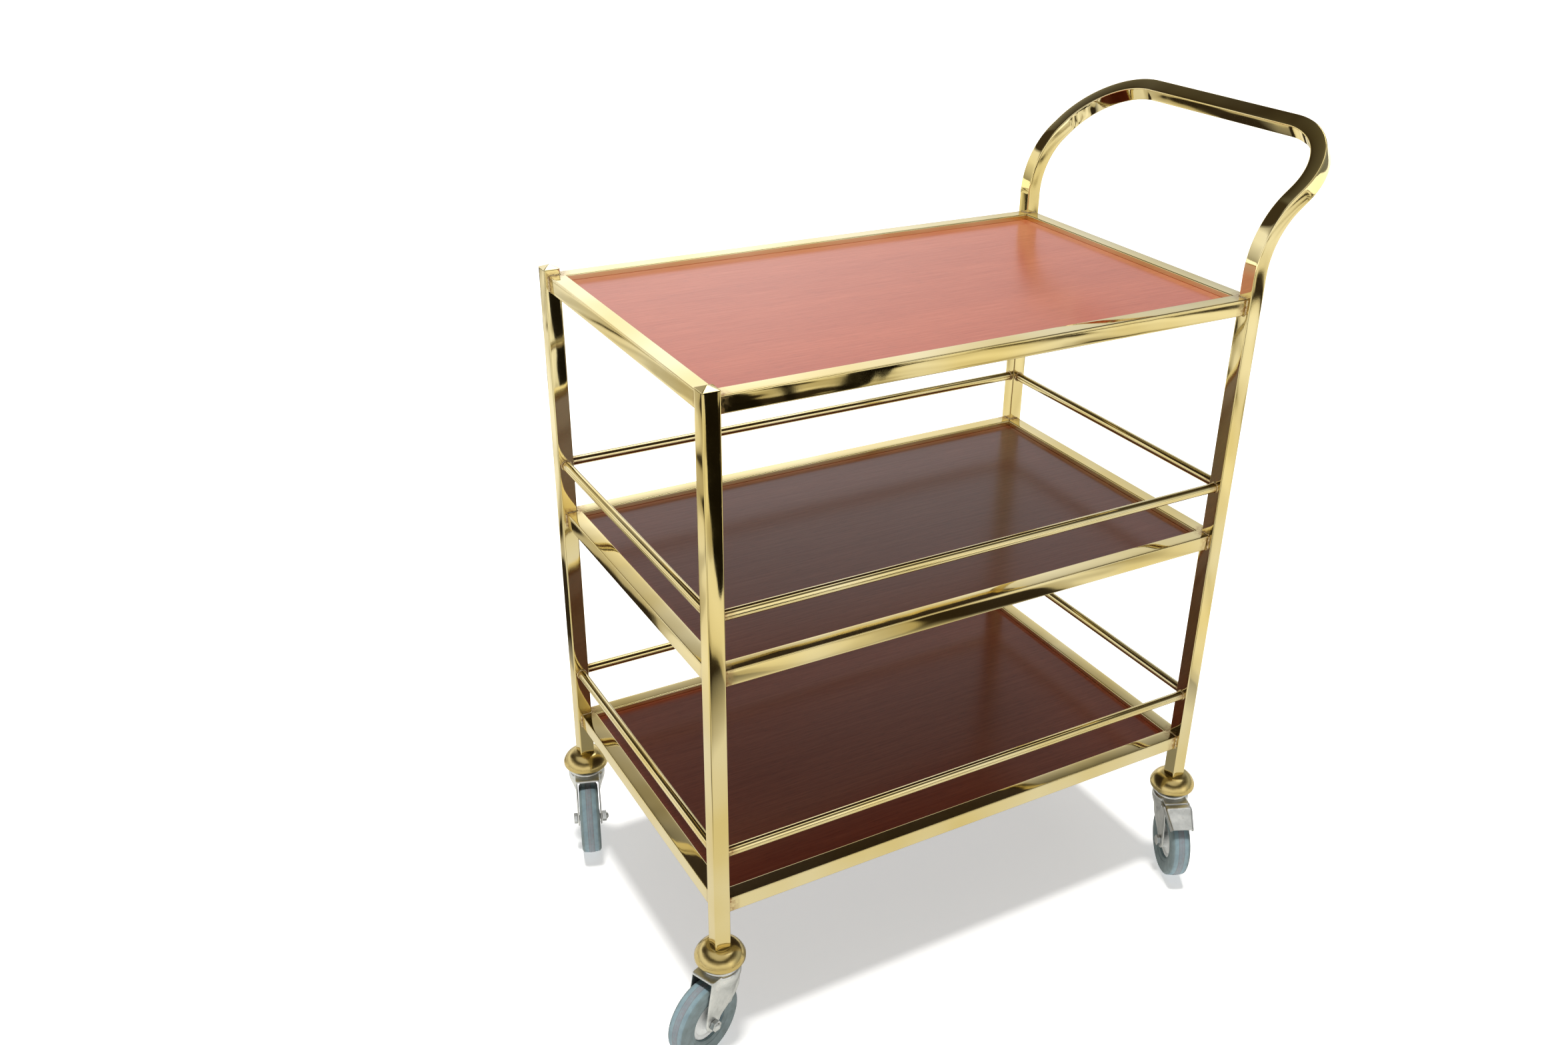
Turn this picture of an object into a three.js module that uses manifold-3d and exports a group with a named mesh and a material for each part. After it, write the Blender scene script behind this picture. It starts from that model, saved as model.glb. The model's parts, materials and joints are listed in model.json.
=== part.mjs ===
// Hotel service cart with three shelves: a gold-plated square-tube frame with two plain posts at the
// left end, one bent hoop that forms both right legs and the push handle, three shelf frames
// with recessed wood panels, round guard rods, and four swivel casters, two of them braked.
//
// Frame: millimetres, +Z up, +X towards the push handle, +Y towards the back of the cart.
// The origin is on the floor, in the middle of the footprint of the whole object.

import * as THREE from 'three';
import { mergeVertices } from 'three/addons/utils/BufferGeometryUtils.js';
import Module from 'manifold-3d';

const wasm = await Module();
wasm.setup();

// ---------------------------------------------------------------- driving dimensions
const GAP = 0.25;                  // clearance between pieces that touch
const TUBE = 20;                   // side of the square tube
const WALL = 1.2;                  // wall of the square tube
const FRAME_LENGTH = 718;          // over the posts, along X
const FRAME_WIDTH = 454;           // over the posts, along Y
const SHELF_TOPS = { bottom: 208, middle: 517, top: 826 };
const RAIL_INSET = 5.3;            // rails sit this far inside the posts' outer faces
const POST_BOTTOM = 142.2;
const POST_TOP = 832;
const FINIAL_HEIGHT = 5;
const FINIAL_PLUG = 8;             // depth of the finial's plug inside the post

const PANEL_DROP = 7;              // panel top below the rail top
const PANEL_THICK = 9;
const LEDGE_WIDTH = 8;             // strip inside each rail that carries the panel
const LEDGE_THICK = 1.5;

const GUARD_RADIUS = 6;
const GUARD_HEIGHT = 65.5;         // guard rod centre above the rail top

const FLARE_START = 850.5;         // height where the hoop leaves the vertical
const FLARE_RADIUS = 103;
const FLARE_ANGLE = 53.6;          // degrees away from the vertical
const SLANT_LENGTH = 104;          // end of the flare to the centre of the top bar
const CORNER_RADIUS = 92;

const DOME_RADIUS = 30.4;
const DOME_BOTTOM = 119;
const DOME_TOP = 142;
const DOME_WALL = 2.2;
const DOME_CROWN = 13;             // radius of the flat crown under the leg
const DOME_BAND = 4.5;             // height of the band at the mouth

const WHEEL_RADIUS = 49;
const TYRE_WIDTH = 27;
const HUB_RADIUS = 25.5;
const HUB_WIDTH = 28;
const TRAIL = 31.5;                // wheel axle behind the swivel axis
const AXLE_RADIUS = 4;
const AXLE_CLEARANCE = 0.25;
const STEM_RADIUS = 5;
const STEM_TOP = 176;
const STEM_SHOULDER_RADIUS = 9;    // nut that tightens the fixed race
const STEM_SHOULDER = 13;          // its top above the crown
const RACE_RADIUS = 21;            // fixed upper race
const KING_PIN_RADIUS = 4;
const KING_PIN_HEAD = 8;

const FORK_TOP = 111;
const FORK_PLATE = 2.5;
const FORK_CROWN_RADIUS = 25;
const FORK_SKIRT = 13;             // depth of the pressed rim round the crown
const EAR_INNER = 14.7;            // inner face of each fork ear from the wheel's mid-plane
const EAR_OUTER = 16.7;
const EAR_FOOT_RADIUS = 11.5;      // round end of each ear about the axle
const FORK_RACE_RADIUS = 22;       // raised lower race on the crown
const FORK_RACE_HEIGHT = 2.4;
const BOLT_FLATS = 13;             // spanner size of the axle bolt and its nut
const BOLT_HEAD = 5.3;
const NUT_HEIGHT = 6;
const NUT_DOME_RADIUS = 5.8;

const PEDAL_PIN = { x: 25, z: 103.5, radius: 2.4 };
const PEDAL_THICK = 2;
const PEDAL_HALF_WIDTH = 19.2;
const PEDAL_TOE_HALF_WIDTH = 15.5;
const PEDAL_START = TRAIL + 1.5;   // front edge of the plate, just behind the crown
const PEDAL_BEND = 42.5;           // where the plate turns down towards the toe
const PEDAL_EYE_RADIUS = 5.2;      // round end of each cheek about the pin
const PIN_CLEARANCE = 0.2;
const HOLE_REACH = 30;             // half length of the tools that drill across a caster

// Direction that each caster trails in, in degrees from +X, seen from above.
const CASTERS = [
  { name: 'front_left', x: -1, y: -1, trail: 202, braked: false },
  { name: 'back_left', x: -1, y: 1, trail: 251, braked: false },
  { name: 'front_right', x: 1, y: -1, trail: 244.5, braked: true },
  { name: 'back_right', x: 1, y: 1, trail: 236, braked: true },
];

// Centre of the rectangle of posts, measured from the middle of the footprint.
const POSTS_CENTRE = new THREE.Vector3(-31, 23, 0);

const SIDES_TYRE = 32;             // facets round the turned pieces
const SIDES_TURNED = 24;
const SIDES_SMALL = 16;

const halfLength = FRAME_LENGTH / 2;
const halfWidth = FRAME_WIDTH / 2;
const postX = halfLength - TUBE / 2;
const postY = halfWidth - TUBE / 2;
const bore = TUBE / 2 - WALL;
const rad = THREE.MathUtils.degToRad;

// ---------------------------------------------------------------- materials
const finish = (color, roughness, metalness) =>
  new THREE.MeshStandardMaterial({ color, roughness, metalness });
const gold = finish(0xd9c37c, 0.18, 1);
const wood = finish(0x8a4434, 0.3, 0);
const zinc = finish(0xb4b9ba, 0.38, 1);
const hubGrey = finish(0xc9ccc8, 0.45, 0.1);
const rubber = finish(0x7f979c, 0.7, 0);

// ---------------------------------------------------------------- solid helpers
function toSolid(geometry) {
  const bare = geometry.index ? geometry.toNonIndexed() : geometry.clone();
  bare.deleteAttribute('normal');
  bare.deleteAttribute('uv');
  const merged = mergeVertices(bare, 1e-4);
  return new wasm.Manifold(new wasm.Mesh({
    numProp: 3,
    vertProperties: new Float32Array(merged.attributes.position.array),
    triVerts: new Uint32Array(merged.index.array),
  }));
}

function toGeometry(solid) {
  const mesh = solid.getMesh();
  const geometry = new THREE.BufferGeometry();
  geometry.setAttribute('position', new THREE.BufferAttribute(mesh.vertProperties, 3));
  geometry.setIndex(new THREE.BufferAttribute(mesh.triVerts, 1));
  geometry.computeVertexNormals();
  return geometry;
}

const join = (...parts) => toGeometry(parts.map(toSolid).reduce((a, b) => a.add(b)));
const cut = (body, ...tools) => {
  const left = tools.map(toSolid).reduce((a, b) => a.subtract(b), toSolid(body));
  return toGeometry(left);
};
const common = (a, b) => toGeometry(toSolid(a).intersect(toSolid(b)));

// Box by its lowest and highest corners.
function box(low, high) {
  const size = high.map((value, axis) => value - low[axis]);
  const geometry = new THREE.BoxGeometry(...size);
  return geometry.translate(...low.map((value, axis) => value + size[axis] / 2));
}

// Cylinder with its axis along Y, through (x, z).
function crossPin(x, z, radius, from, to, sides = SIDES_SMALL) {
  const pin = new THREE.CylinderGeometry(radius, radius, to - from, sides);
  return pin.translate(x, (from + to) / 2, z);
}

// Outline given as [x, z] points, extruded along Y between two planes.
function sidePlate(points, from, to) {
  const shape = new THREE.Shape(points.map(([x, z]) => new THREE.Vector2(x, z)));
  const plate = new THREE.ExtrudeGeometry(shape, { depth: to - from, bevelEnabled: false });
  return plate.rotateX(Math.PI / 2).translate(0, to, 0);
}

// Profile of [radius, z] points turned round the Z axis.
function turned(points, sides) {
  const profile = points.map(([r, z]) => new THREE.Vector2(r, z));
  return new THREE.LatheGeometry(profile, sides).rotateX(Math.PI / 2);
}

// Points on an arc about (cx, cy), both ends included, angles in degrees.
function arc(cx, cy, radius, from, to, steps) {
  return Array.from({ length: steps + 1 }, (_, i) => {
    const angle = rad(from + ((to - from) * i) / steps);
    return [cx + radius * Math.cos(angle), cy + radius * Math.sin(angle)];
  });
}

function square(half) {
  return [[-half, -half], [half, -half], [half, half], [-half, half]]
    .map(([x, y]) => new THREE.Vector2(x, y));
}

function tubeSection() {
  const section = new THREE.Shape(square(TUBE / 2));
  section.holes.push(new THREE.Path(square(bore)));
  return section;
}

function part(parent, name, geometry, material) {
  const mesh = new THREE.Mesh(geometry, material);
  mesh.name = name;
  parent.add(mesh);
  return mesh;
}

// ---------------------------------------------------------------- posts and push handle
function postGeometry() {
  const depth = POST_TOP - POST_BOTTOM;
  return new THREE.ExtrudeGeometry(tubeSection(), { depth, bevelEnabled: false })
    .translate(0, 0, POST_BOTTOM);
}

// Low four-sided cap with a plug that fits the tube's bore.
function finialGeometry() {
  const base = POST_TOP + GAP;
  const plinth = box([-TUBE / 2, -TUBE / 2, base], [TUBE / 2, TUBE / 2, base + 1]);
  const cap = new THREE.ConeGeometry(TUBE / Math.SQRT2, FINIAL_HEIGHT - 1, 4)
    .rotateX(Math.PI / 2)
    .rotateZ(Math.PI / 4)
    .translate(0, 0, base + 1 + (FINIAL_HEIGHT - 1) / 2);
  const plugHalf = bore - GAP;
  const plug = box([-plugHalf, -plugHalf, base - FINIAL_PLUG], [plugHalf, plugHalf, base + 0.5]);
  return join(plinth, cap, plug);
}

// Centre line of the hoop as stations: up the front leg, out along the flare, round the two
// corners in the slanted plane and down the back leg. Stations are dense only on the bends.
class HoopCurve extends THREE.Curve {
  constructor() {
    super();
    const half = this.frontHalf();
    const mirrored = half.slice().reverse().map(({ point, tangent }) => ({
      point: new THREE.Vector3(point.x, -point.y, point.z),
      tangent: new THREE.Vector3(-tangent.x, tangent.y, -tangent.z),
    }));
    this.stations = half.concat(mirrored);
  }

  frontHalf() {
    const lean = rad(FLARE_ANGLE);
    const stations = [];
    const add = (point, tangent) => stations.push({ point, tangent });
    add(new THREE.Vector3(postX, -postY, POST_BOTTOM), new THREE.Vector3(0, 0, 1));
    const flareSteps = 10;
    for (let i = 0; i <= flareSteps; i += 1) {
      const a = (lean * i) / flareSteps;
      const x = postX + FLARE_RADIUS * (1 - Math.cos(a));
      const z = FLARE_START + FLARE_RADIUS * Math.sin(a);
      add(new THREE.Vector3(x, -postY, z), new THREE.Vector3(Math.sin(a), 0, Math.cos(a)));
    }
    const slant = new THREE.Vector3(Math.sin(lean), 0, Math.cos(lean));
    const flareEnd = stations[stations.length - 1].point;
    const cornerStart = flareEnd.clone().addScaledVector(slant, SLANT_LENGTH - CORNER_RADIUS);
    const cornerSteps = 14;
    for (let i = 0; i <= cornerSteps; i += 1) {
      const a = (Math.PI / 2 * i) / cornerSteps;
      const point = cornerStart.clone().addScaledVector(slant, CORNER_RADIUS * Math.sin(a));
      point.y += CORNER_RADIUS * (1 - Math.cos(a));
      const tangent = slant.clone().multiplyScalar(Math.cos(a));
      tangent.y = Math.sin(a);
      add(point, tangent);
    }
    return stations;
  }

  station(t) {
    return this.stations[Math.round(t * (this.stations.length - 1))];
  }

  getPoint(t, target = new THREE.Vector3()) {
    return target.copy(this.station(t).point);
  }

  getTangent(t, target = new THREE.Vector3()) {
    return target.copy(this.station(t).tangent);
  }

  getPointAt(u, target) {
    return this.getPoint(u, target);
  }

  getTangentAt(u, target) {
    return this.getTangent(u, target);
  }
}

function hoopGeometry() {
  const extrudePath = new HoopCurve();
  const steps = extrudePath.stations.length - 1;
  return new THREE.ExtrudeGeometry(tubeSection(), { steps, extrudePath, bevelEnabled: false });
}

function addUprights(parent) {
  for (const [side, y] of [['front', -postY], ['back', postY]]) {
    part(parent, `${side}_left_post`, postGeometry(), gold).position.set(-postX, y, 0);
    part(parent, `${side}_left_finial`, finialGeometry(), gold).position.set(-postX, y, 0);
  }
  part(parent, 'push_handle_hoop', hoopGeometry(), gold);
}

// ---------------------------------------------------------------- shelves
// Rail along X with its outer face at y = 0 and its top at z = 0, the ledge on the +Y side.
// It butts against the posts, and inside them its ends are mitred at 45 degrees.
function railGeometry(span) {
  const ledgeTop = -PANEL_DROP - PANEL_THICK - GAP;
  const section = new THREE.Shape([
    [0, -TUBE], [TUBE, -TUBE], [TUBE, ledgeTop - LEDGE_THICK],
    [TUBE + LEDGE_WIDTH, ledgeTop - LEDGE_THICK], [TUBE + LEDGE_WIDTH, ledgeTop],
    [TUBE, ledgeTop], [TUBE, 0], [0, 0],
  ].map(([y, z]) => new THREE.Vector2(y, z)));
  const hole = square(bore).map((corner) => corner.add(new THREE.Vector2(TUBE / 2, -TUBE / 2)));
  section.holes.push(new THREE.Path(hole));
  const bar = new THREE.ExtrudeGeometry(section, { depth: span, bevelEnabled: false })
    .translate(0, 0, -span / 2)
    .rotateY(Math.PI / 2)
    .rotateX(Math.PI / 2);

  const end = span / 2 - GAP;
  const shoulder = TUBE - RAIL_INSET;
  const reach = TUBE + LEDGE_WIDTH + 1;
  const mitred = end - (reach - shoulder);
  const plan = new THREE.Shape([
    [-end, -1], [end, -1], [end, shoulder], [mitred, reach], [-mitred, reach], [-end, shoulder],
  ].map(([x, y]) => new THREE.Vector2(x, y)));
  const keep = new THREE.ExtrudeGeometry(plan, { depth: TUBE + 2, bevelEnabled: false })
    .translate(0, 0, -TUBE - 1);
  return common(bar, keep);
}

// The four sides of the frame: outward face, free span between the posts and turn about Z.
const SIDES = [
  { name: 'front', x: 0, y: -halfWidth, span: FRAME_LENGTH - 2 * TUBE, turn: 0 },
  { name: 'right', x: halfLength, y: 0, span: FRAME_WIDTH - 2 * TUBE, turn: 90 },
  { name: 'back', x: 0, y: halfWidth, span: FRAME_LENGTH - 2 * TUBE, turn: 180 },
  { name: 'left', x: -halfLength, y: 0, span: FRAME_WIDTH - 2 * TUBE, turn: 270 },
];

// Places a piece built for the front side, at the given depth inside the posts' outer faces.
function placeOnSide(mesh, side, inset, z) {
  mesh.rotation.z = rad(side.turn);
  mesh.position.set(
    side.x - Math.sign(side.x) * inset,
    side.y - Math.sign(side.y) * inset,
    z,
  );
}

function addShelf(parent, level, top) {
  for (const side of SIDES) {
    const rail = part(parent, `${level}_${side.name}_rail`, railGeometry(side.span), gold);
    placeOnSide(rail, side, RAIL_INSET, top);
  }
  const inset = RAIL_INSET + TUBE + GAP;
  const panelX = halfLength - inset;
  const panelY = halfWidth - inset;
  const panelTop = top - PANEL_DROP;
  const panel = box([-panelX, -panelY, panelTop - PANEL_THICK], [panelX, panelY, panelTop]);
  part(parent, `${level}_panel`, panel, wood);
}

function addGuardRods(parent, level, shelfTop) {
  for (const side of SIDES) {
    const length = side.span - 2 * GAP;
    const rod = new THREE.CylinderGeometry(GUARD_RADIUS, GUARD_RADIUS, length, SIDES_SMALL)
      .rotateZ(Math.PI / 2);
    const mesh = part(parent, `${level}_${side.name}_guard_rod`, rod, gold);
    placeOnSide(mesh, side, TUBE / 2, shelfTop + GUARD_HEIGHT);
  }
}

// ---------------------------------------------------------------- casters
// Spun cup under each leg, open below, with a hole for the caster's stem.
function domeGeometry() {
  const springing = DOME_BOTTOM + DOME_BAND + 1.5;
  const rise = DOME_TOP - 1 - springing;
  const steps = 5;
  const skin = (inset) => Array.from({ length: steps + 1 }, (_, i) => {
    const a = (Math.PI / 2 * i) / steps;
    return [
      DOME_CROWN + (DOME_RADIUS - inset - DOME_CROWN) * Math.cos(a),
      springing + (rise - inset) * Math.sin(a),
    ];
  });
  const holeRadius = STEM_RADIUS + 0.4;
  const mouthRadius = DOME_RADIUS - 1.8;
  const outer = [
    [mouthRadius, DOME_BOTTOM], [DOME_RADIUS, DOME_BOTTOM + DOME_BAND], ...skin(0),
    [DOME_CROWN - 0.5, DOME_TOP], [holeRadius, DOME_TOP],
  ];
  const inner = [
    [holeRadius, DOME_TOP - 1 - DOME_WALL], ...skin(DOME_WALL).reverse(),
    [mouthRadius - DOME_WALL, DOME_BOTTOM],
  ];
  return turned([...outer, ...inner, outer[0]], SIDES_TURNED);
}

// Threaded stem with the fixed upper race, and the riveted king pin below the fork's crown.
function stemGeometry() {
  const headTop = FORK_TOP - FORK_PLATE - GAP;
  const headBottom = headTop - 3.25;
  const raceBottom = FORK_TOP + 3;
  const raceTop = raceBottom + 3.5;
  const shoulderTop = FORK_TOP + STEM_SHOULDER;
  return turned([
    [0, headBottom], [KING_PIN_HEAD - 1, headBottom], [KING_PIN_HEAD, headBottom + 1],
    [KING_PIN_HEAD, headTop], [KING_PIN_RADIUS, headTop], [KING_PIN_RADIUS, raceBottom],
    [RACE_RADIUS - 2, raceBottom], [RACE_RADIUS, raceBottom + 1.5], [RACE_RADIUS, raceTop],
    [STEM_SHOULDER_RADIUS, raceTop], [STEM_SHOULDER_RADIUS, shoulderTop], [STEM_RADIUS, shoulderTop],
    [STEM_RADIUS, STEM_TOP - 1], [STEM_RADIUS - 1, STEM_TOP], [0, STEM_TOP],
  ], SIDES_SMALL);
}

// Side view of one fork ear, from the crown down round the axle and back up.
function earOutline() {
  return [
    [TRAIL, FORK_TOP], [-18.6, FORK_TOP], [-18.6, 95], [-15.5, 78], [-8, 67.5], [3, 60.5],
    [14, 55],
    ...arc(TRAIL, WHEEL_RADIUS, EAR_FOOT_RADIUS, 168, 372, 9),
    [40.5, 66], [36.5, 88],
  ];
}

function pedalPinHole() {
  const { x, z, radius } = PEDAL_PIN;
  return crossPin(x, z, radius + PIN_CLEARANCE, -HOLE_REACH, HOLE_REACH);
}

function forkGeometry(braked) {
  const crown = new THREE.Shape();
  const shoulder = Math.asin(EAR_OUTER / FORK_CROWN_RADIUS);
  crown.moveTo(TRAIL, -EAR_OUTER);
  crown.lineTo(TRAIL, EAR_OUTER);
  crown.absarc(0, 0, FORK_CROWN_RADIUS, shoulder, 2 * Math.PI - shoulder, false);
  const plate = new THREE.ExtrudeGeometry(crown, {
    depth: FORK_PLATE, bevelEnabled: false, curveSegments: 18,
  }).translate(0, 0, FORK_TOP - FORK_PLATE);
  const rim = FORK_CROWN_RADIUS - 2;
  const skirt = turned([
    [rim, FORK_TOP - FORK_SKIRT], [FORK_CROWN_RADIUS - 0.2, FORK_TOP - FORK_SKIRT],
    [FORK_CROWN_RADIUS - 0.2, FORK_TOP - 1], [rim, FORK_TOP - 1], [rim, FORK_TOP - FORK_SKIRT],
  ], SIDES_TURNED);
  const race = turned([
    [0, FORK_TOP - 1], [FORK_RACE_RADIUS, FORK_TOP - 1],
    [FORK_RACE_RADIUS, FORK_TOP + FORK_RACE_HEIGHT], [0, FORK_TOP + FORK_RACE_HEIGHT],
  ], SIDES_TURNED);
  const ears = [
    sidePlate(earOutline(), EAR_INNER, EAR_OUTER),
    sidePlate(earOutline(), -EAR_OUTER, -EAR_INNER),
  ];
  const mouth = box(
    [12, -EAR_INNER, FORK_TOP - FORK_SKIRT - 2],
    [TRAIL + 5, EAR_INNER, FORK_TOP - FORK_PLATE],
  );
  const axleHoleRadius = AXLE_RADIUS + AXLE_CLEARANCE;
  const axleHole = crossPin(TRAIL, WHEEL_RADIUS, axleHoleRadius, -HOLE_REACH, HOLE_REACH);
  const kingPinBore = KING_PIN_RADIUS + 0.3;
  const kingPinHole = new THREE.CylinderGeometry(kingPinBore, kingPinBore, 20, SIDES_SMALL)
    .rotateX(Math.PI / 2)
    .translate(0, 0, FORK_TOP);
  const holes = [mouth, axleHole, kingPinHole];
  if (braked) {
    holes.push(pedalPinHole());
  }
  return cut(join(plate, skirt, race, ...ears), ...holes);
}

// Hexagon of the axle bolt's spanner size, between two planes along the axle.
function hexPrism(from, to) {
  return crossPin(TRAIL, WHEEL_RADIUS, BOLT_FLATS / Math.sqrt(3), from, to, 6);
}

function axleBoltGeometry() {
  const seat = EAR_OUTER + GAP;
  const shank = crossPin(TRAIL, WHEEL_RADIUS, AXLE_RADIUS, -seat - 4.5, seat + 7);
  return join(shank, hexPrism(-seat - BOLT_HEAD, -seat));
}

// Domed cap nut on the end of the axle bolt.
function axleNutGeometry() {
  const seat = EAR_OUTER + GAP;
  const dome = new THREE.SphereGeometry(NUT_DOME_RADIUS, 12, 8)
    .scale(1, 0.8, 1)
    .translate(TRAIL, seat + NUT_HEIGHT, WHEEL_RADIUS);
  const thread = crossPin(TRAIL, WHEEL_RADIUS, AXLE_RADIUS + 0.2, seat - 1, seat + 7.5);
  return cut(join(hexPrism(seat, seat + NUT_HEIGHT), dome), thread);
}

// Dished hub with a tubular boss that runs on the axle bolt.
function hubGeometry() {
  const bossHalf = HUB_WIDTH / 2;
  const bossRadius = 9.5;
  const rimHalf = 10;
  const side = (s) => [
    [AXLE_RADIUS + AXLE_CLEARANCE, s * bossHalf], [bossRadius, s * bossHalf],
    [bossRadius + 1.5, s * (rimHalf - 3)], [HUB_RADIUS - 5.5, s * (rimHalf - 4)],
    [HUB_RADIUS - 2.5, s * rimHalf], [HUB_RADIUS, s * rimHalf],
  ];
  const profile = [...side(-1), ...side(1).reverse()];
  return turned([...profile, profile[0]], SIDES_TURNED)
    .rotateX(Math.PI / 2)
    .translate(TRAIL, 0, WHEEL_RADIUS);
}

// Rubber tyre: bulged side walls, rounded shoulders and a nearly flat tread.
function tyreGeometry() {
  const half = TYRE_WIDTH / 2;
  const seat = HUB_RADIUS + GAP;
  const side = [
    [seat, 10.5], [30, 12], [40, half], [45, half - 0.6], [48, half - 3.5],
  ];
  const otherSide = side.slice().reverse().map(([r, y]) => [r, -y]);
  const profile = [...side, [WHEEL_RADIUS, 0], ...otherSide];
  return turned([...profile, profile[0]].reverse(), SIDES_TYRE)
    .rotateX(Math.PI / 2)
    .translate(TRAIL, 0, WHEEL_RADIUS);
}

// Brake pedal: a bent plate behind the crown that narrows to a curled toe, with two side
// cheeks outside the fork ears, hinged on the pedal pin.
function pedalGeometry() {
  const top = FORK_TOP;
  const bend = [PEDAL_BEND, top - 1.2];
  const upper = [
    [PEDAL_START, top], [PEDAL_BEND - 3.5, top], bend,
    [68, 95.6], [70.6, 91.5], [69.2, 88],
  ];
  const lower = [
    [67.4, 88.6], [68.3, 91.2], [66.5, 94.1],
    [PEDAL_BEND - 1, top - 3.2], [PEDAL_BEND - 4, top - PEDAL_THICK], [PEDAL_START, top - PEDAL_THICK],
  ];
  const plate = sidePlate([...upper, ...lower].reverse(), -PEDAL_HALF_WIDTH, PEDAL_HALF_WIDTH);
  const plan = new THREE.Shape([
    [20, -PEDAL_HALF_WIDTH], [PEDAL_BEND, -PEDAL_HALF_WIDTH], [75, -PEDAL_TOE_HALF_WIDTH],
    [75, PEDAL_TOE_HALF_WIDTH], [PEDAL_BEND, PEDAL_HALF_WIDTH], [20, PEDAL_HALF_WIDTH],
  ].map(([x, y]) => new THREE.Vector2(x, y)));
  const planCut = new THREE.ExtrudeGeometry(plan, { depth: 60, bevelEnabled: false })
    .translate(0, 0, 70);
  const cheekOutline = [
    ...arc(PEDAL_PIN.x, PEDAL_PIN.z, PEDAL_EYE_RADIUS, 90, 300, 8),
    [41, 99], [46, 105], bend, [PEDAL_BEND - 3.5, top], [30, top],
  ];
  const cheekInner = EAR_OUTER + 0.7;
  const cheeks = [
    sidePlate(cheekOutline, cheekInner, PEDAL_HALF_WIDTH),
    sidePlate(cheekOutline, -PEDAL_HALF_WIDTH, -cheekInner),
  ];
  return cut(join(common(plate, planCut), ...cheeks), pedalPinHole());
}

function addCaster(parent, { name, x, y, trail, braked }) {
  const spot = new THREE.Vector3(x * postX, y * postY, 0);
  part(parent, `${name}_dome_cup`, domeGeometry(), gold).position.copy(spot);
  part(parent, `${name}_caster_stem`, stemGeometry(), zinc).position.copy(spot);
  const caster = new THREE.Group();
  caster.position.copy(spot);
  caster.rotation.z = rad(trail);
  parent.add(caster);
  part(caster, `${name}_fork`, forkGeometry(braked), zinc);
  part(caster, `${name}_axle_bolt`, axleBoltGeometry(), zinc);
  part(caster, `${name}_axle_nut`, axleNutGeometry(), zinc);
  part(caster, `${name}_wheel_hub`, hubGeometry(), hubGrey);
  part(caster, `${name}_tyre`, tyreGeometry(), rubber);
  if (braked) {
    const reach = PEDAL_HALF_WIDTH + 1.4;
    const pin = crossPin(PEDAL_PIN.x, PEDAL_PIN.z, PEDAL_PIN.radius, -reach, reach);
    part(caster, `${name}_brake_pin`, pin, zinc);
    part(caster, `${name}_brake_pedal`, pedalGeometry(), zinc);
  }
}

// ---------------------------------------------------------------- assembly
const cart = new THREE.Group();
cart.position.copy(POSTS_CENTRE);

addUprights(cart);
for (const [level, top] of Object.entries(SHELF_TOPS)) addShelf(cart, level, top);
for (const level of ['bottom', 'middle']) addGuardRods(cart, level, SHELF_TOPS[level]);
for (const caster of CASTERS) addCaster(cart, caster);

export default cart;
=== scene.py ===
"""Hotel service cart: the visual model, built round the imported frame.

Metres, +Z up, +X towards the push handle, +Y towards the back of the cart.
Each caster is built once in a frame of its own, with +X along its trail and +Y along its axle,
and copied to the four legs.
"""

import json
import math

import bmesh
import bpy
from mathutils import Matrix, Vector


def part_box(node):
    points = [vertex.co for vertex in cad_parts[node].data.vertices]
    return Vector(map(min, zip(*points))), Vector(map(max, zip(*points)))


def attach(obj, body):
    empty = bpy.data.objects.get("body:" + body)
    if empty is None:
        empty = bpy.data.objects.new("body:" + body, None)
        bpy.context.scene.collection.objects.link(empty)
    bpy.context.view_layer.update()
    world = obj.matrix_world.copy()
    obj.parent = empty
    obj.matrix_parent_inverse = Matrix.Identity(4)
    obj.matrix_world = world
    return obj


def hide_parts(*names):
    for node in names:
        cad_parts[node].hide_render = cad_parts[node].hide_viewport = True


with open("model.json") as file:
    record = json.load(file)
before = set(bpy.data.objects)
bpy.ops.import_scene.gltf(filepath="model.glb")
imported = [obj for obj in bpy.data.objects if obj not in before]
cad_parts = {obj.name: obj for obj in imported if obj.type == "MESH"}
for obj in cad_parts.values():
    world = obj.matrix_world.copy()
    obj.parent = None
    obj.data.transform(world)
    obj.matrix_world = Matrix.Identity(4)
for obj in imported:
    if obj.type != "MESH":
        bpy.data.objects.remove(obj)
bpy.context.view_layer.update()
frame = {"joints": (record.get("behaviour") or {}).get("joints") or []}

MM = 0.001
LEVELS = ("bottom", "middle", "top")
SIDES = ("front", "right", "back", "left")
CASTERS = ("front_left", "back_left", "front_right", "back_right")
BRAKED = ("front_right", "back_right")

# ---------------------------------------------------------------- sizes
post_low, post_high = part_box("front_left_post")
hoop_low, hoop_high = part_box("push_handle_hoop")
TUBE = post_high.x - post_low.x
TUBE_RADIUS = 1.5 * MM             # outer corner radius of the square tube
TUBE_WALL = 1.2 * MM
TUBE_CROWN = 0.12 * MM             # swell in the middle of each flat of the tube
POST_BOTTOM = post_low.z
POST_TOP = post_high.z
LEFT = post_low.x + TUBE / 2       # centre lines of the legs
RIGHT = hoop_low.x + TUBE / 2
FRONT = hoop_low.y + TUBE / 2
BACK = hoop_high.y - TUBE / 2
CENTRE = Vector(((LEFT + RIGHT) / 2, (FRONT + BACK) / 2, 0))
LEGS = {
    "front_left": Vector((LEFT, FRONT, 0)),
    "back_left": Vector((LEFT, BACK, 0)),
    "front_right": Vector((RIGHT, FRONT, 0)),
    "back_right": Vector((RIGHT, BACK, 0)),
}

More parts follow.
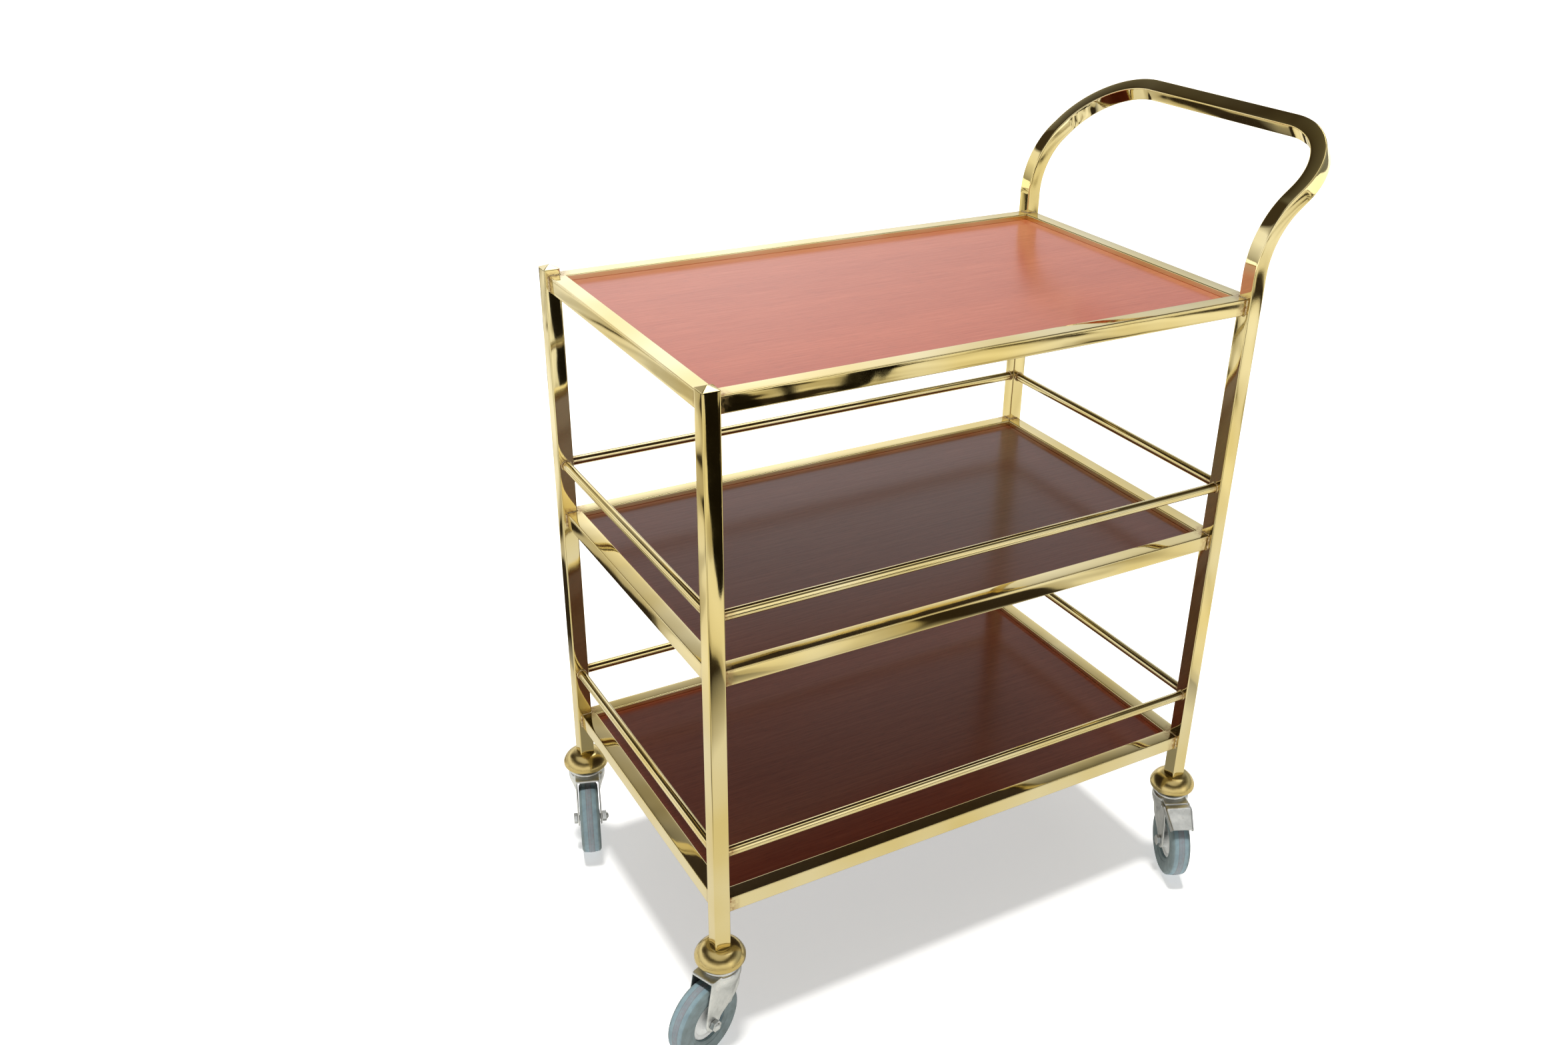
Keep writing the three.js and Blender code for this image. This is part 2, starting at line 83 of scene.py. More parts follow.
FLARE_START = 850.5 * MM           # height where the hoop leaves the vertical
FLARE_RADIUS = 103 * MM
FLARE_ANGLE = math.radians(53.6)
SLANT_LENGTH = 104 * MM
CORNER_RADIUS = 92 * MM

LEDGE_WIDTH = 8 * MM
LEDGE_THICK = 1.5 * MM
WELD_RADIUS = 1.7 * MM
WELD_PITCH = 2.4 * MM              # length of one ripple of a weld bead
WELD_STEP = 0.4 * MM               # spacing of the rings that a weld bead is lofted through

WHEEL_RADIUS = 49 * MM
TRAIL = 31.5 * MM
FORK_TOP = 111 * MM
EAR_OUTER = 16.7 * MM
FORK_WALL = 2.3 * MM
ACROSS_FLATS = 13 * MM             # bolt head and cap nut
SHANK_RADIUS = 3.9 * MM
KING_PIN_RADIUS = 4 * MM
KING_PIN_BORE = 5 * MM
PEDAL_WIDTH = 19.2 * MM            # half of the pedal's full width
PEDAL_TOE_WIDTH = 15.5 * MM
PEDAL_START = 33.2 * MM            # front edge of the plate, from the swivel axis; flanges only before it
PEDAL_THICK = 2 * MM
PEDAL_FLANGE_RADIUS = 2.6 * MM
PEDAL_FLANGE_DEPTH = 10.2 * MM


# ---------------------------------------------------------------- closed surfaces
class Surface:
    """Vertices and faces of one or more closed surfaces."""

    def __init__(self):
        self.vertices = []
        self.faces = []

    def add(self, vertices, faces, matrix=None):
        start = len(self.vertices)
        self.vertices += [matrix @ Vector(v) if matrix else Vector(v) for v in vertices]
        self.faces += [[start + i for i in face] for face in faces]
        return self


def rounded(points, steps=4, closed=False):
    """Outline with its corners turned into arcs; each point is (x, y, radius of its corner)."""
    made = []
    count = len(points)
    for i, (x, y, radius) in enumerate(points):
        corner = Vector((x, y))
        if radius <= 0 or (not closed and i in (0, count - 1)):
            made.append((x, y))
            continue
        before = (Vector(points[i - 1][:2]) - corner).normalized()
        after = (Vector(points[(i + 1) % count][:2]) - corner).normalized()
        half_angle = before.angle(after) / 2
        if half_angle > math.radians(89):
            made.append((x, y))
            continue
        middle = corner + (before + after).normalized() * (radius / math.sin(half_angle))
        first = corner + before * (radius / math.tan(half_angle)) - middle
        last = corner + after * (radius / math.tan(half_angle)) - middle
        turn = math.atan2(first.x * last.y - first.y * last.x, first.dot(last))
        for step in range(steps + 1):
            a = turn * step / steps
            spun = Vector((
                first.x * math.cos(a) - first.y * math.sin(a),
                first.x * math.sin(a) + first.y * math.cos(a),
            ))
            made.append(tuple(middle + spun))
    return made


def square(half, radius, steps=4):
    """Square outline with round corners, as (u, v) points."""
    corners = [(half, half), (-half, half), (-half, -half), (half, -half)]
    return rounded([(u, v, radius) for u, v in corners], steps, closed=True)


def crowned(outline, bulge, steps=6):
    """Outline whose long straight sides swell by a hair, as drawn and polished tube does."""
    made = []
    for i, start in enumerate(outline):
        end = outline[(i + 1) % len(outline)]
        made.append(start)
        side = Vector((end[0] - start[0], end[1] - start[1]))
        if side.length < TUBE / 3:
            continue
        outward = Vector((side.y, -side.x)).normalized()
        for step in range(1, steps):
            t = 2 * step / steps - 1
            made.append(tuple(Vector(start) + side * step / steps + outward * bulge * (1 - t * t)))
    return made


def loft(rings):
    """Closed solid through rings of points, capped at both ends."""
    count = len(rings[0])
    faces = [
        (r * count + i, r * count + (i + 1) % count, (r + 1) * count + (i + 1) % count, (r + 1) * count + i)
        for r in range(len(rings) - 1)
        for i in range(count)
    ]
    faces.append(tuple(range(count)))
    faces.append(tuple((len(rings) - 1) * count + i for i in range(count)))
    return [point for ring in rings for point in ring], faces


def hollow_sweep(stations, outer, inner):
    """Open-ended tube: two outlines carried along stations of (centre, u axis, v axis)."""
    count = len(outer)
    vertices = [
        centre + u_axis * u + v_axis * v
        for centre, u_axis, v_axis in stations
        for outline in (outer, inner)
        for u, v in outline
    ]

    def at(station, ring, i):
        return (2 * station + ring) * count + i % count

    faces = []
    for s in range(len(stations) - 1):
        for ring in (0, 1):
            faces += [
                (at(s, ring, i), at(s, ring, i + 1), at(s + 1, ring, i + 1), at(s + 1, ring, i))
                for i in range(count)
            ]
    for s in (0, len(stations) - 1):
        faces += [(at(s, 0, i), at(s, 0, i + 1), at(s, 1, i + 1), at(s, 1, i)) for i in range(count)]
    return vertices, faces


def lathe(profile, sides):
    """Profile of (radius, height) points turned round Z: it starts and ends on the axis, or closes."""
    vertices, starts = [], []
    for radius, height in profile:
        starts.append(len(vertices))
        if radius < 1e-9:
            vertices.append((0, 0, height))
            continue
        for i in range(sides):
            a = 2 * math.pi * i / sides
            vertices.append((radius * math.cos(a), radius * math.sin(a), height))
    faces = []
    on_axis = profile[0][0] < 1e-9
    for k in range(len(profile) - 1 if on_axis else len(profile)):
        following = (k + 1) % len(profile)
        for i in range(sides):
            j = (i + 1) % sides
            low = [starts[k] + i, starts[k] + j] if profile[k][0] >= 1e-9 else [starts[k]]
            high = [starts[following] + j, starts[following] + i]
            if profile[following][0] < 1e-9:
                high = [starts[following]]
            faces.append(low + high)
    return vertices, faces


def cylinder(radius, low, high):
    """Profile of a plain cylinder, for lathe."""
    return [(0, low), (radius, low), (radius, high), (0, high)]


def prism(outline, low, high):
    """Outline of (x, y) points extruded along Z."""
    return loft([[(x, y, z) for x, y in outline] for z in (low, high)])


def rectangle(low, high):
    return [(low[0], low[1]), (high[0], low[1]), (high[0], high[1]), (low[0], high[1])]


def block(low, high):
    """Plain box between two opposite corners."""
    return prism(rectangle(low, high), low[2], high[2])


def full_turn(steps):
    """Evenly spaced angles, once round."""
    return [2 * math.pi * k / steps for k in range(steps)]


# ---------------------------------------------------------------- pieces
def linked(name, data):
    """A new object for a mesh, light or camera, linked to the scene."""
    made = bpy.data.objects.new(name, data)
    bpy.context.scene.collection.objects.link(made)
    return made


def mesh_of(name, surface):
    mesh = bpy.data.meshes.new(name)
    mesh.from_pydata(surface.vertices, [], surface.faces)
    bm = bmesh.new()
    bm.from_mesh(mesh)
    bmesh.ops.recalc_face_normals(bm, faces=bm.faces)
    bm.to_mesh(mesh)
    bm.free()
    return mesh


def shade(mesh, angle=35):
    mesh.shade_smooth()
    mesh.set_sharp_from_angle(angle=math.radians(angle))
    return mesh


def turned_mesh(name, profile, sides, matrix=None, angle=35):
    return shade(mesh_of(name, Surface().add(*lathe(profile, sides), matrix)), angle)


def piece(name, mesh, material, body, replaces=(), matrix=None):
    """Puts a mesh in the scene as a piece that rides on a body and stands for CAD nodes."""
    made = linked(name, mesh)
    if matrix:
        made.matrix_world = matrix
    if not mesh.materials:
        mesh.materials.append(material)
    normals = made.modifiers.new("weighted_normals", "WEIGHTED_NORMAL")
    normals.keep_sharp = True
    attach(made, body)
    if replaces:
        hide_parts(*replaces)
    return made


def soften_edges(made, width, segments, angle):
    """Rounds the edges that are sharper than the angle, in degrees."""
    bevel = made.modifiers.new("edges", "BEVEL")
    bevel.width = width
    bevel.segments = segments
    bevel.limit_method = "ANGLE"
    bevel.angle_limit = math.radians(angle)


def evaluated(made):
    """The object's mesh with its modifiers applied; the object itself is removed."""
    depsgraph = bpy.context.evaluated_depsgraph_get()
    mesh = bpy.data.meshes.new_from_object(made.evaluated_get(depsgraph))
    bpy.data.objects.remove(made)
    return mesh


def combined(base, operations):
    """Joins and cuts closed solids; operations are (operation, vertices and faces)."""
    def helper(solid):
        return linked("helper", mesh_of("helper", Surface().add(*solid)))

    body = helper(base)
    tools = [(operation, helper(solid)) for operation, solid in operations]
    for operation, tool in tools:
        modifier = body.modifiers.new(operation, "BOOLEAN")
        modifier.operation = operation
        modifier.solver = "EXACT"
        modifier.object = tool
    mesh = evaluated(body)
    for _, tool in tools:
        bpy.data.objects.remove(tool)
    return mesh


def pressed(mesh, voxel, smoothing):
    """Even, soft-edged version of a solid, as sheet metal has after pressing."""
    made = linked("helper", mesh)
    remesh = made.modifiers.new("even", "REMESH")
    remesh.mode = "VOXEL"
    remesh.voxel_size = voxel
    smooth = made.modifiers.new("soft", "SMOOTH")
    smooth.factor = 0.5
    smooth.iterations = smoothing
    return evaluated(made)


# ---------------------------------------------------------------- material helpers
def node(tree, kind, inputs=None, **settings):
    """Adds a shader node; inputs are numbers, colours or other nodes' sockets."""
    made = tree.nodes.new(kind)
    for key, value in settings.items():
        setattr(made, key, value)
    for key, value in (inputs or {}).items():
        if isinstance(value, bpy.types.NodeSocket):
            tree.links.new(value, made.inputs[key])
        else:
            made.inputs[key].default_value = value
    return made


def new_material(name):
    """Material with a plain Principled shader: (material, tree, shader, object coordinates)."""
    material = bpy.data.materials.new(name)
    material.use_nodes = True
    tree = material.node_tree
    shader = tree.nodes["Principled BSDF"]
    place = node(tree, "ShaderNodeTexCoord").outputs["Object"]
    return material, tree, shader, place


def noise(tree, place, scale, detail=4.0, roughness=0.55, distortion=0.0):
    made = node(tree, "ShaderNodeTexNoise", {
        "Vector": place,
        "Scale": scale,
        "Detail": detail,
        "Roughness": roughness,
        "Distortion": distortion,
    })
    return made.outputs["Fac"]


def stretched(tree, place, scale):
    """Coordinates scaled by a different amount along each axis."""
    return node(tree, "ShaderNodeMapping", {"Vector": place, "Scale": scale}).outputs["Vector"]


def vector_node(tree, operation, first, second=(0, 0, 0)):
    made = node(tree, "ShaderNodeVectorMath", {0: first, 1: second}, operation=operation)
    return made.outputs["Value" if operation in ("LENGTH", "DOT_PRODUCT") else "Vector"]


def remap(tree, value, from_low, from_high, to_low, to_high):
    made = node(tree, "ShaderNodeMapRange", {
        "Value": value,
        "From Min": from_low,
        "From Max": from_high,
        "To Min": to_low,
        "To Max": to_high,
    })
    return made.outputs["Result"]


def mix(tree, factor, first, second, blend="MIX"):
    made = node(tree, "ShaderNodeMix", data_type="RGBA", blend_type=blend)
    sockets = {"Factor": made.inputs[0], "A": made.inputs[6], "B": made.inputs[7]}
    for key, value in (("Factor", factor), ("A", first), ("B", second)):
        if isinstance(value, bpy.types.NodeSocket):
            tree.links.new(value, sockets[key])
        elif key == "Factor":
            sockets[key].default_value = value
        else:
            sockets[key].default_value = (*value, 1)
    return made.outputs[2]


def math_node(tree, operation, first, second=0.0):
    made = node(tree, "ShaderNodeMath", {0: first, 1: second}, operation=operation)
    return made.outputs[0]


def ramp(tree, factor, stops):
    made = node(tree, "ShaderNodeValToRGB", {"Fac": factor})
    elements = made.color_ramp.elements
    while len(elements) < len(stops):
        elements.new(0.5)
    for element, (position, colour) in zip(elements, stops):
        element.position = position
        element.color = (*colour, 1)
    return made.outputs["Color"]


def bump(tree, heights, strength, distance, below=None):
    inputs = {"Height": heights, "Strength": strength, "Distance": distance}
    if below:
        inputs["Normal"] = below
    return node(tree, "ShaderNodeBump", inputs).outputs["Normal"]


# ---------------------------------------------------------------- materials
GOLD = (0.70, 0.565, 0.235)
GOLD_PALE = (0.77, 0.675, 0.40)
HEAT_BROWN = (0.30, 0.15, 0.06)
HEAT_REACH = (13 * MM, 26 * MM)    # from a leg's centre line: the heat tint fades between these
# painted shade: near-black colour painted on the downward faces of the boards
UNDERSIDE_PAINTED_SHADE = (0.035, 0.024, 0.018)


def connect(tree, shader, colour, roughness, normal):
    """Feeds the three sockets of a Principled shader that every finish varies."""
    tree.links.new(colour, shader.inputs["Base Color"])
    tree.links.new(roughness, shader.inputs["Roughness"])
    tree.links.new(normal, shader.inputs["Normal"])


def leg_distance(tree, place):
    """Distance from the nearest leg's centre line, in plan."""
    corner = Vector(((RIGHT - LEFT) / 2, (BACK - FRONT) / 2, 0))
    folded = vector_node(tree, "ABSOLUTE", vector_node(tree, "SUBTRACT", place, CENTRE))
    from_leg = vector_node(tree, "SUBTRACT", folded, corner)
    return vector_node(tree, "LENGTH", vector_node(tree, "MULTIPLY", from_leg, (1, 1, 0)))


def gold_material(name, heated=False, gloss=(0.02, 0.07), tint=(1, 1, 1)):
    """Polished gold plating; heated adds the brown tint next to the welds."""
    material, tree, shader, place = new_material(name)
    smudge = noise(tree, place, 26, 5)
    drift = noise(tree, place, 6, 2)
    colour = mix(tree, remap(tree, drift, 0.35, 0.65, 0, 1), GOLD, GOLD_PALE)
    colour = mix(tree, 1.0, colour, tint, "MULTIPLY")
    roughness = remap(tree, smudge, 0.3, 0.75, *gloss)
    if heated:
        near = remap(tree, leg_distance(tree, place), *HEAT_REACH, 1, 0)
        patchy = remap(tree, noise(tree, place, 240, 3), 0.35, 0.65, 0.2, 1)
        heat = math_node(tree, "MULTIPLY", near, patchy)
        colour = mix(tree, heat, colour, HEAT_BROWN)
        roughness = math_node(tree, "ADD", roughness, math_node(tree, "MULTIPLY", heat, 0.25))
    shader.inputs["Metallic"].default_value = 1
    waves = bump(tree, noise(tree, place, 12, 1, 0.5, 0.4), 0.5, 0.0009)
    grain = bump(tree, noise(tree, place, 1400, 2), 0.03, 0.0001, waves)
    connect(tree, shader, colour, roughness, grain)
    return material


def weld_material():
    """Rippled weld metal under the plating, stained darker in the valleys."""
    material, tree, shader, place = new_material("weld_bead_gold")
    stain = remap(tree, noise(tree, place, 320, 4), 0.35, 0.7, 0, 1)
    colour = mix(tree, stain, (0.78, 0.66, 0.40), (0.30, 0.17, 0.08))
    shader.inputs["Metallic"].default_value = 1
    grain = bump(tree, noise(tree, place, 900, 3), 0.5, 0.0003)
    connect(tree, shader, colour, remap(tree, stain, 0, 1, 0.22, 0.5), grain)
    return material


def wood_material():
    """Reddish mahogany laminate with its grain along X, under a semi-gloss film; faces turned down get
    painted shade: a near-black colour and no film.
    """
    material, tree, shader, place = new_material("mahogany_laminate")
    figure = noise(tree, stretched(tree, place, (1.6, 16, 16)), 1.0, 3, 0.5, 0.6)
    fibre = noise(tree, stretched(tree, place, (14, 420, 420)), 1.0, 3, 0.6)
    pores = noise(tree, stretched(tree, place, (60, 1000, 1000)), 1.0, 2, 0.5)
    broad = math_node(tree, "MULTIPLY", figure, 0.35)
    fine = math_node(tree, "MULTIPLY", fibre, 0.65)
    tone = math_node(tree, "ADD", broad, fine)
    colour = ramp(tree, tone, [
        (0.36, (0.335, 0.062, 0.029)),
        (0.50, (0.38, 0.078, 0.036)),
        (0.64, (0.425, 0.094, 0.044)),
    ])
    dark_pores = remap(tree, pores, 0.30, 0.42, 0.5, 0)
    colour = mix(tree, dark_pores, colour, (0.18, 0.034, 0.018))
    # painted shade: faces turned down are painted near black and lose the film, so the underside stays dark
    facing = node(tree, "ShaderNodeNewGeometry").outputs["Normal"]
    upward = node(tree, "ShaderNodeSeparateXYZ", {"Vector": facing}).outputs["Z"]
    on_top = remap(tree, upward, -0.6, -0.4, 0, 1)
    colour = mix(tree, on_top, UNDERSIDE_PAINTED_SHADE, colour)
    shader.inputs["Specular IOR Level"].default_value = 0.05
    tree.links.new(on_top, shader.inputs["Coat Weight"])
    shader.inputs["Coat IOR"].default_value = 1.34
    shader.inputs["Coat Roughness"].default_value = 0.2
    roughness = remap(tree, fibre, 0.3, 0.7, 0.50, 0.42)
    connect(tree, shader, colour, roughness, bump(tree, pores, 0.08, 0.0002))
    return material


def zinc_material():
    """Satin zinc plate with faint clouding and rubbed spots."""
    material, tree, shader, place = new_material("satin_zinc")
    cloud = noise(tree, place, 70, 5)
    colour = ramp(tree, cloud, [
        (0.32, (0.60, 0.62, 0.62)),
        (0.52, (0.70, 0.72, 0.72)),
        (0.72, (0.79, 0.80, 0.79)),
    ])
    grime = remap(tree, noise(tree, place, 190, 4), 0.58, 0.8, 0, 0.3)
    colour = mix(tree, grime, colour, (0.20, 0.17, 0.13))
    shader.inputs["Metallic"].default_value = 1
    grain = bump(tree, noise(tree, place, 520, 3), 0.12, 0.0002)
    connect(tree, shader, colour, remap(tree, cloud, 0.3, 0.7, 0.42, 0.26), grain)
    return material


def hub_material():
    """Light grey moulded polymer, a little dusty."""
    material, tree, shader, place = new_material("hub_polymer_grey")
    dust = noise(tree, place, 60, 5)
    colour = mix(tree, remap(tree, dust, 0.35, 0.7, 0, 1), (0.80, 0.82, 0.80), (0.68, 0.68, 0.66))
    grain = bump(tree, noise(tree, place, 700, 2), 0.08, 0.0002)
    connect(tree, shader, colour, remap(tree, dust, 0.3, 0.7, 0.38, 0.55), grain)
    return material


def rubber_material():
    """Blue-grey rubber with the tread painted lighter and bluer than the walls, a painted highlight; the
    tread's middle is scuffed brown.
    """
    material, tree, shader, place = new_material("tyre_rubber_grey")
    patch = noise(tree, place, 90, 5)
    across = node(tree, "ShaderNodeSeparateXYZ", {"Vector": place}).outputs["Y"]
    off_centre = math_node(tree, "ABSOLUTE", across)
    darker = remap(tree, patch, 0.35, 0.7, 0, 1)
    # painted highlight: the tread gets a lighter, bluer colour than the side walls
    wall = mix(tree, darker, (0.19, 0.25, 0.26), (0.15, 0.19, 0.19))
    tread = mix(tree, darker, (0.25, 0.35, 0.39), (0.19, 0.27, 0.31))
    colour = mix(tree, remap(tree, off_centre, 8.8 * MM, 10.2 * MM, 0, 1), tread, wall)
    scuff = remap(tree, noise(tree, place, 260, 4), 0.3, 0.7, 0.25, 0.8)
    middle = math_node(tree, "MULTIPLY", remap(tree, off_centre, 2.8 * MM, 4.4 * MM, 1, 0), scuff)
    colour = mix(tree, middle, colour, (0.25, 0.23, 0.25))
    from_line = math_node(tree, "ABSOLUTE", math_node(tree, "SUBTRACT", off_centre, 3.6 * MM))
    line = remap(tree, from_line, 0.2 * MM, 0.7 * MM, 0.45, 0)
    colour = mix(tree, line, colour, (0.16, 0.12, 0.11))
    grain = bump(tree, noise(tree, place, 600, 4), 0.2, 0.0003)
    connect(tree, shader, colour, remap(tree, patch, 0.3, 0.7, 0.5, 0.68), grain)
    return material


def floor_material():
    """Pale seamless floor, lit a little from below like a light table."""
    material, tree, shader, place = new_material("pale_floor")
    mottle = remap(tree, noise(tree, place, 3, 3), 0.3, 0.7, 0, 1)
    colour = mix(tree, mottle, (0.925, 0.925, 0.925), (0.935, 0.935, 0.93))
    tree.links.new(colour, shader.inputs["Base Color"])
    shader.inputs["Roughness"].default_value = 0.7
    shader.inputs["Specular IOR Level"].default_value = 0.2
    shader.inputs["Emission Color"].default_value = (1, 1, 1, 1)
    shader.inputs["Emission Strength"].default_value = 0.48
    return material


plain_gold = gold_material("gold_plate_tube")
cup_gold = gold_material("gold_plate_cup", gloss=(0.16, 0.24), tint=(0.82, 0.77, 0.66))
rail_gold = gold_material("gold_plate_rail", heated=True)
weld_gold = weld_material()
wood = wood_material()
zinc = zinc_material()
hub_grey = hub_material()
rubber = rubber_material()

X_AXIS, Y_AXIS, Z_AXIS = Vector((1, 0, 0)), Vector((0, 1, 0)), Vector((0, 0, 1))
TUBE_OUTER = crowned(square(TUBE / 2 - TUBE_CROWN, TUBE_RADIUS), TUBE_CROWN)
TUBE_INNER = crowned(square(TUBE / 2 - TUBE_WALL, TUBE_RADIUS / 3), 0)


# ---------------------------------------------------------------- posts and push handle
def build_posts():
    for name in ("front_left", "back_left"):
        foot = LEGS[name]
        stations = [(foot + Z_AXIS * z, X_AXIS, Y_AXIS) for z in (POST_BOTTOM, POST_TOP)]
        tube = Surface().add(*hollow_sweep(stations, TUBE_OUTER, TUBE_INNER))
        node_name = f"{name}_post"
        mesh = shade(mesh_of(node_name, tube))
        piece(f"{node_name}_tube", mesh, plain_gold, "frame", [node_name])


def build_finials():
    """Low four-sided caps with a thin plinth and slightly rounded arrises."""
    low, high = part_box("front_left_finial")
    apex = high.z
    plinth = POST_TOP + 1.2 * MM
    half = TUBE / 2
    plug = half - TUBE_WALL - 0.3 * MM
    levels = [
        (low.z, plug, 0.5 * MM), (POST_TOP + 0.1 * MM, plug, 0.5 * MM),
        (POST_TOP + 0.3 * MM, half - 0.3 * MM, 1.2 * MM), (POST_TOP + 0.5 * MM, half, 1.4 * MM),
        (plinth - 0.3 * MM, half, 1.4 * MM), (plinth, half - 0.3 * MM, 1.2 * MM),
        (apex - 0.5 * MM, 1.1 * MM, 0.5 * MM), (apex - 0.15 * MM, 0.7 * MM, 0.4 * MM),
        (apex, 0.3 * MM, 0.2 * MM),
    ]
    for name in ("front_left", "back_left"):
        foot = LEGS[name]
        rings = [
            [(foot.x + u, foot.y + v, z) for u, v in square(half_side, radius)]
            for z, half_side, radius in levels
        ]
        node_name = f"{name}_finial"
        mesh = shade(mesh_of(node_name, Surface().add(*loft(rings))), 20)
        piece(f"{node_name}_cap", mesh, plain_gold, "frame", [node_name])


def hoop_stations():
    """Centre line of the hoop with the two axes of its square section."""
    leg = LEGS["front_right"]
    half = [(leg + Z_AXIS * POST_BOTTOM, X_AXIS, Y_AXIS)]
    flare_steps, corner_steps = 28, 36
    for i in range(flare_steps + 1):
        a = FLARE_ANGLE * i / flare_steps
        outward = X_AXIS * FLARE_RADIUS * (1 - math.cos(a))
        upward = Z_AXIS * (FLARE_START + FLARE_RADIUS * math.sin(a))
        half.append((leg + outward + upward, Vector((math.cos(a), 0, -math.sin(a))), Y_AXIS))
    slant = Vector((math.sin(FLARE_ANGLE), 0, math.cos(FLARE_ANGLE)))
    face = Vector((math.cos(FLARE_ANGLE), 0, -math.sin(FLARE_ANGLE)))
    corner_start = half[-1][0] + slant * (SLANT_LENGTH - CORNER_RADIUS)
    for i in range(corner_steps + 1):
        a = math.pi / 2 * i / corner_steps
        along_slant = slant * CORNER_RADIUS * math.sin(a)
        along_bar = Y_AXIS * CORNER_RADIUS * (1 - math.cos(a))
        centre = corner_start + along_slant + along_bar
        half.append((centre, face, Y_AXIS * math.cos(a) - slant * math.sin(a)))
    flip = Vector((1, -1, 1))
    middle = Vector((0, 2 * CENTRE.y, 0))
    mirrored = [
        (middle + centre * flip, u_axis, v_axis * flip)
        for centre, u_axis, v_axis in reversed(half)
    ]
    return half + mirrored


def build_hoop():
    tube = Surface().add(*hollow_sweep(hoop_stations(), TUBE_OUTER, TUBE_INNER))
    mesh = shade(mesh_of("push_handle_hoop", tube))
    piece("push_handle_hoop_tube", mesh, plain_gold, "frame", ["push_handle_hoop"])


# ---------------------------------------------------------------- rails, panels and guard rods
def rail_surface(span, shoulder):
    """Rail along X with its ledge: outer face at y = 0, top at z = 0, inner ends mitred."""
    ring = []
    outline = [(u + TUBE / 2, v - TUBE / 2) for u, v in TUBE_OUTER]
    for start, end in zip(outline, outline[1:] + outline[:1]):
        ring.append(start)
        if (start[0] - shoulder) * (end[0] - shoulder) < 0:
            share = (shoulder - start[0]) / (end[0] - start[0])
            ring.append((shoulder, start[1] + (end[1] - start[1]) * share))
    count = len(ring)

    def half_length(y):
        return span / 2 - max(0, y - shoulder)

    vertices = [(end * half_length(y), y, z) for end in (-1, 1) for y, z in ring]
    faces = [(i, (i + 1) % count, count + (i + 1) % count, count + i) for i in range(count)]
    butted = [i for i, (y, z) in enumerate(ring) if y <= shoulder + 1e-9]
    mitred = [i for i, (y, z) in enumerate(ring) if y >= shoulder - 1e-9]
    for start in (0, count):
        faces.append([start + i for i in in_order(butted, count)])
        faces.append([start + i for i in in_order(mitred, count)])
    rail = Surface().add(vertices, faces)
    inner, lip = TUBE - 0.5 * MM, TUBE + LEDGE_WIDTH
    plan = [
        (-half_length(inner), inner), (half_length(inner), inner),
        (half_length(lip), lip), (-half_length(lip), lip),
    ]
    panel_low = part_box("top_panel")[0].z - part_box("top_front_rail")[1].z
    ledge_top = panel_low - 0.2 * MM
    return rail.add(*prism(plan, ledge_top - LEDGE_THICK, ledge_top))


def in_order(indices, count):
    """A run of indices round a ring of the given count, started at its first one."""
    chosen = set(indices)
    first = next(i for i in indices if (i - 1) % count not in chosen)
    return [(first + step) % count for step in range(len(indices))]


def bead(points, normal, radius, pitch, closed=False):
    """Rippled weld bead along evenly spaced points that lie in the plane of one normal."""
    sides = 10
    count = len(points)
    rings = []
    travelled = 0.0
    for i, point in enumerate(points):
        before = points[i - 1] if closed or i > 0 else point
        after = points[(i + 1) % count] if closed or i < count - 1 else point
        travelled += (point - points[i - 1]).length if i else 0
        tangent = (after - before).normalized()
        across = normal.cross(tangent)
        ripple = radius * (0.78 + 0.22 * abs(math.cos(math.pi * travelled / pitch)))
        if not closed and i in (0, count - 1):
            ripple *= 0.4
        rings.append([
            point + (normal * math.cos(a) + across * math.sin(a)) * ripple
            for a in full_turn(sides)
        ])
    vertices, faces = loft(rings)
    if closed:
        faces = faces[:-2] + [
            ((count - 1) * sides + k, (count - 1) * sides + (k + 1) % sides, (k + 1) % sides, k)
            for k in range(sides)
        ]
    return vertices, faces


def evenly(start, end, step):
    count = max(2, round((end - start).length / step) + 1)
    return [start.lerp(end, i / (count - 1)) for i in range(count)]


def side_matrix(side, low, high):
    """Turns a rail built for the front side to its own side; low and high are its CAD box."""
    middle = (low + high) / 2
    turn, spot = {
        "front": (0, (middle.x, low.y)),
        "right": (90, (high.x, middle.y)),
        "back": (180, (middle.x, high.y)),
        "left": (270, (low.x, middle.y)),
    }[side]
    return Matrix.Translation((*spot, high.z)) @ Matrix.Rotation(math.radians(turn), 4, "Z")


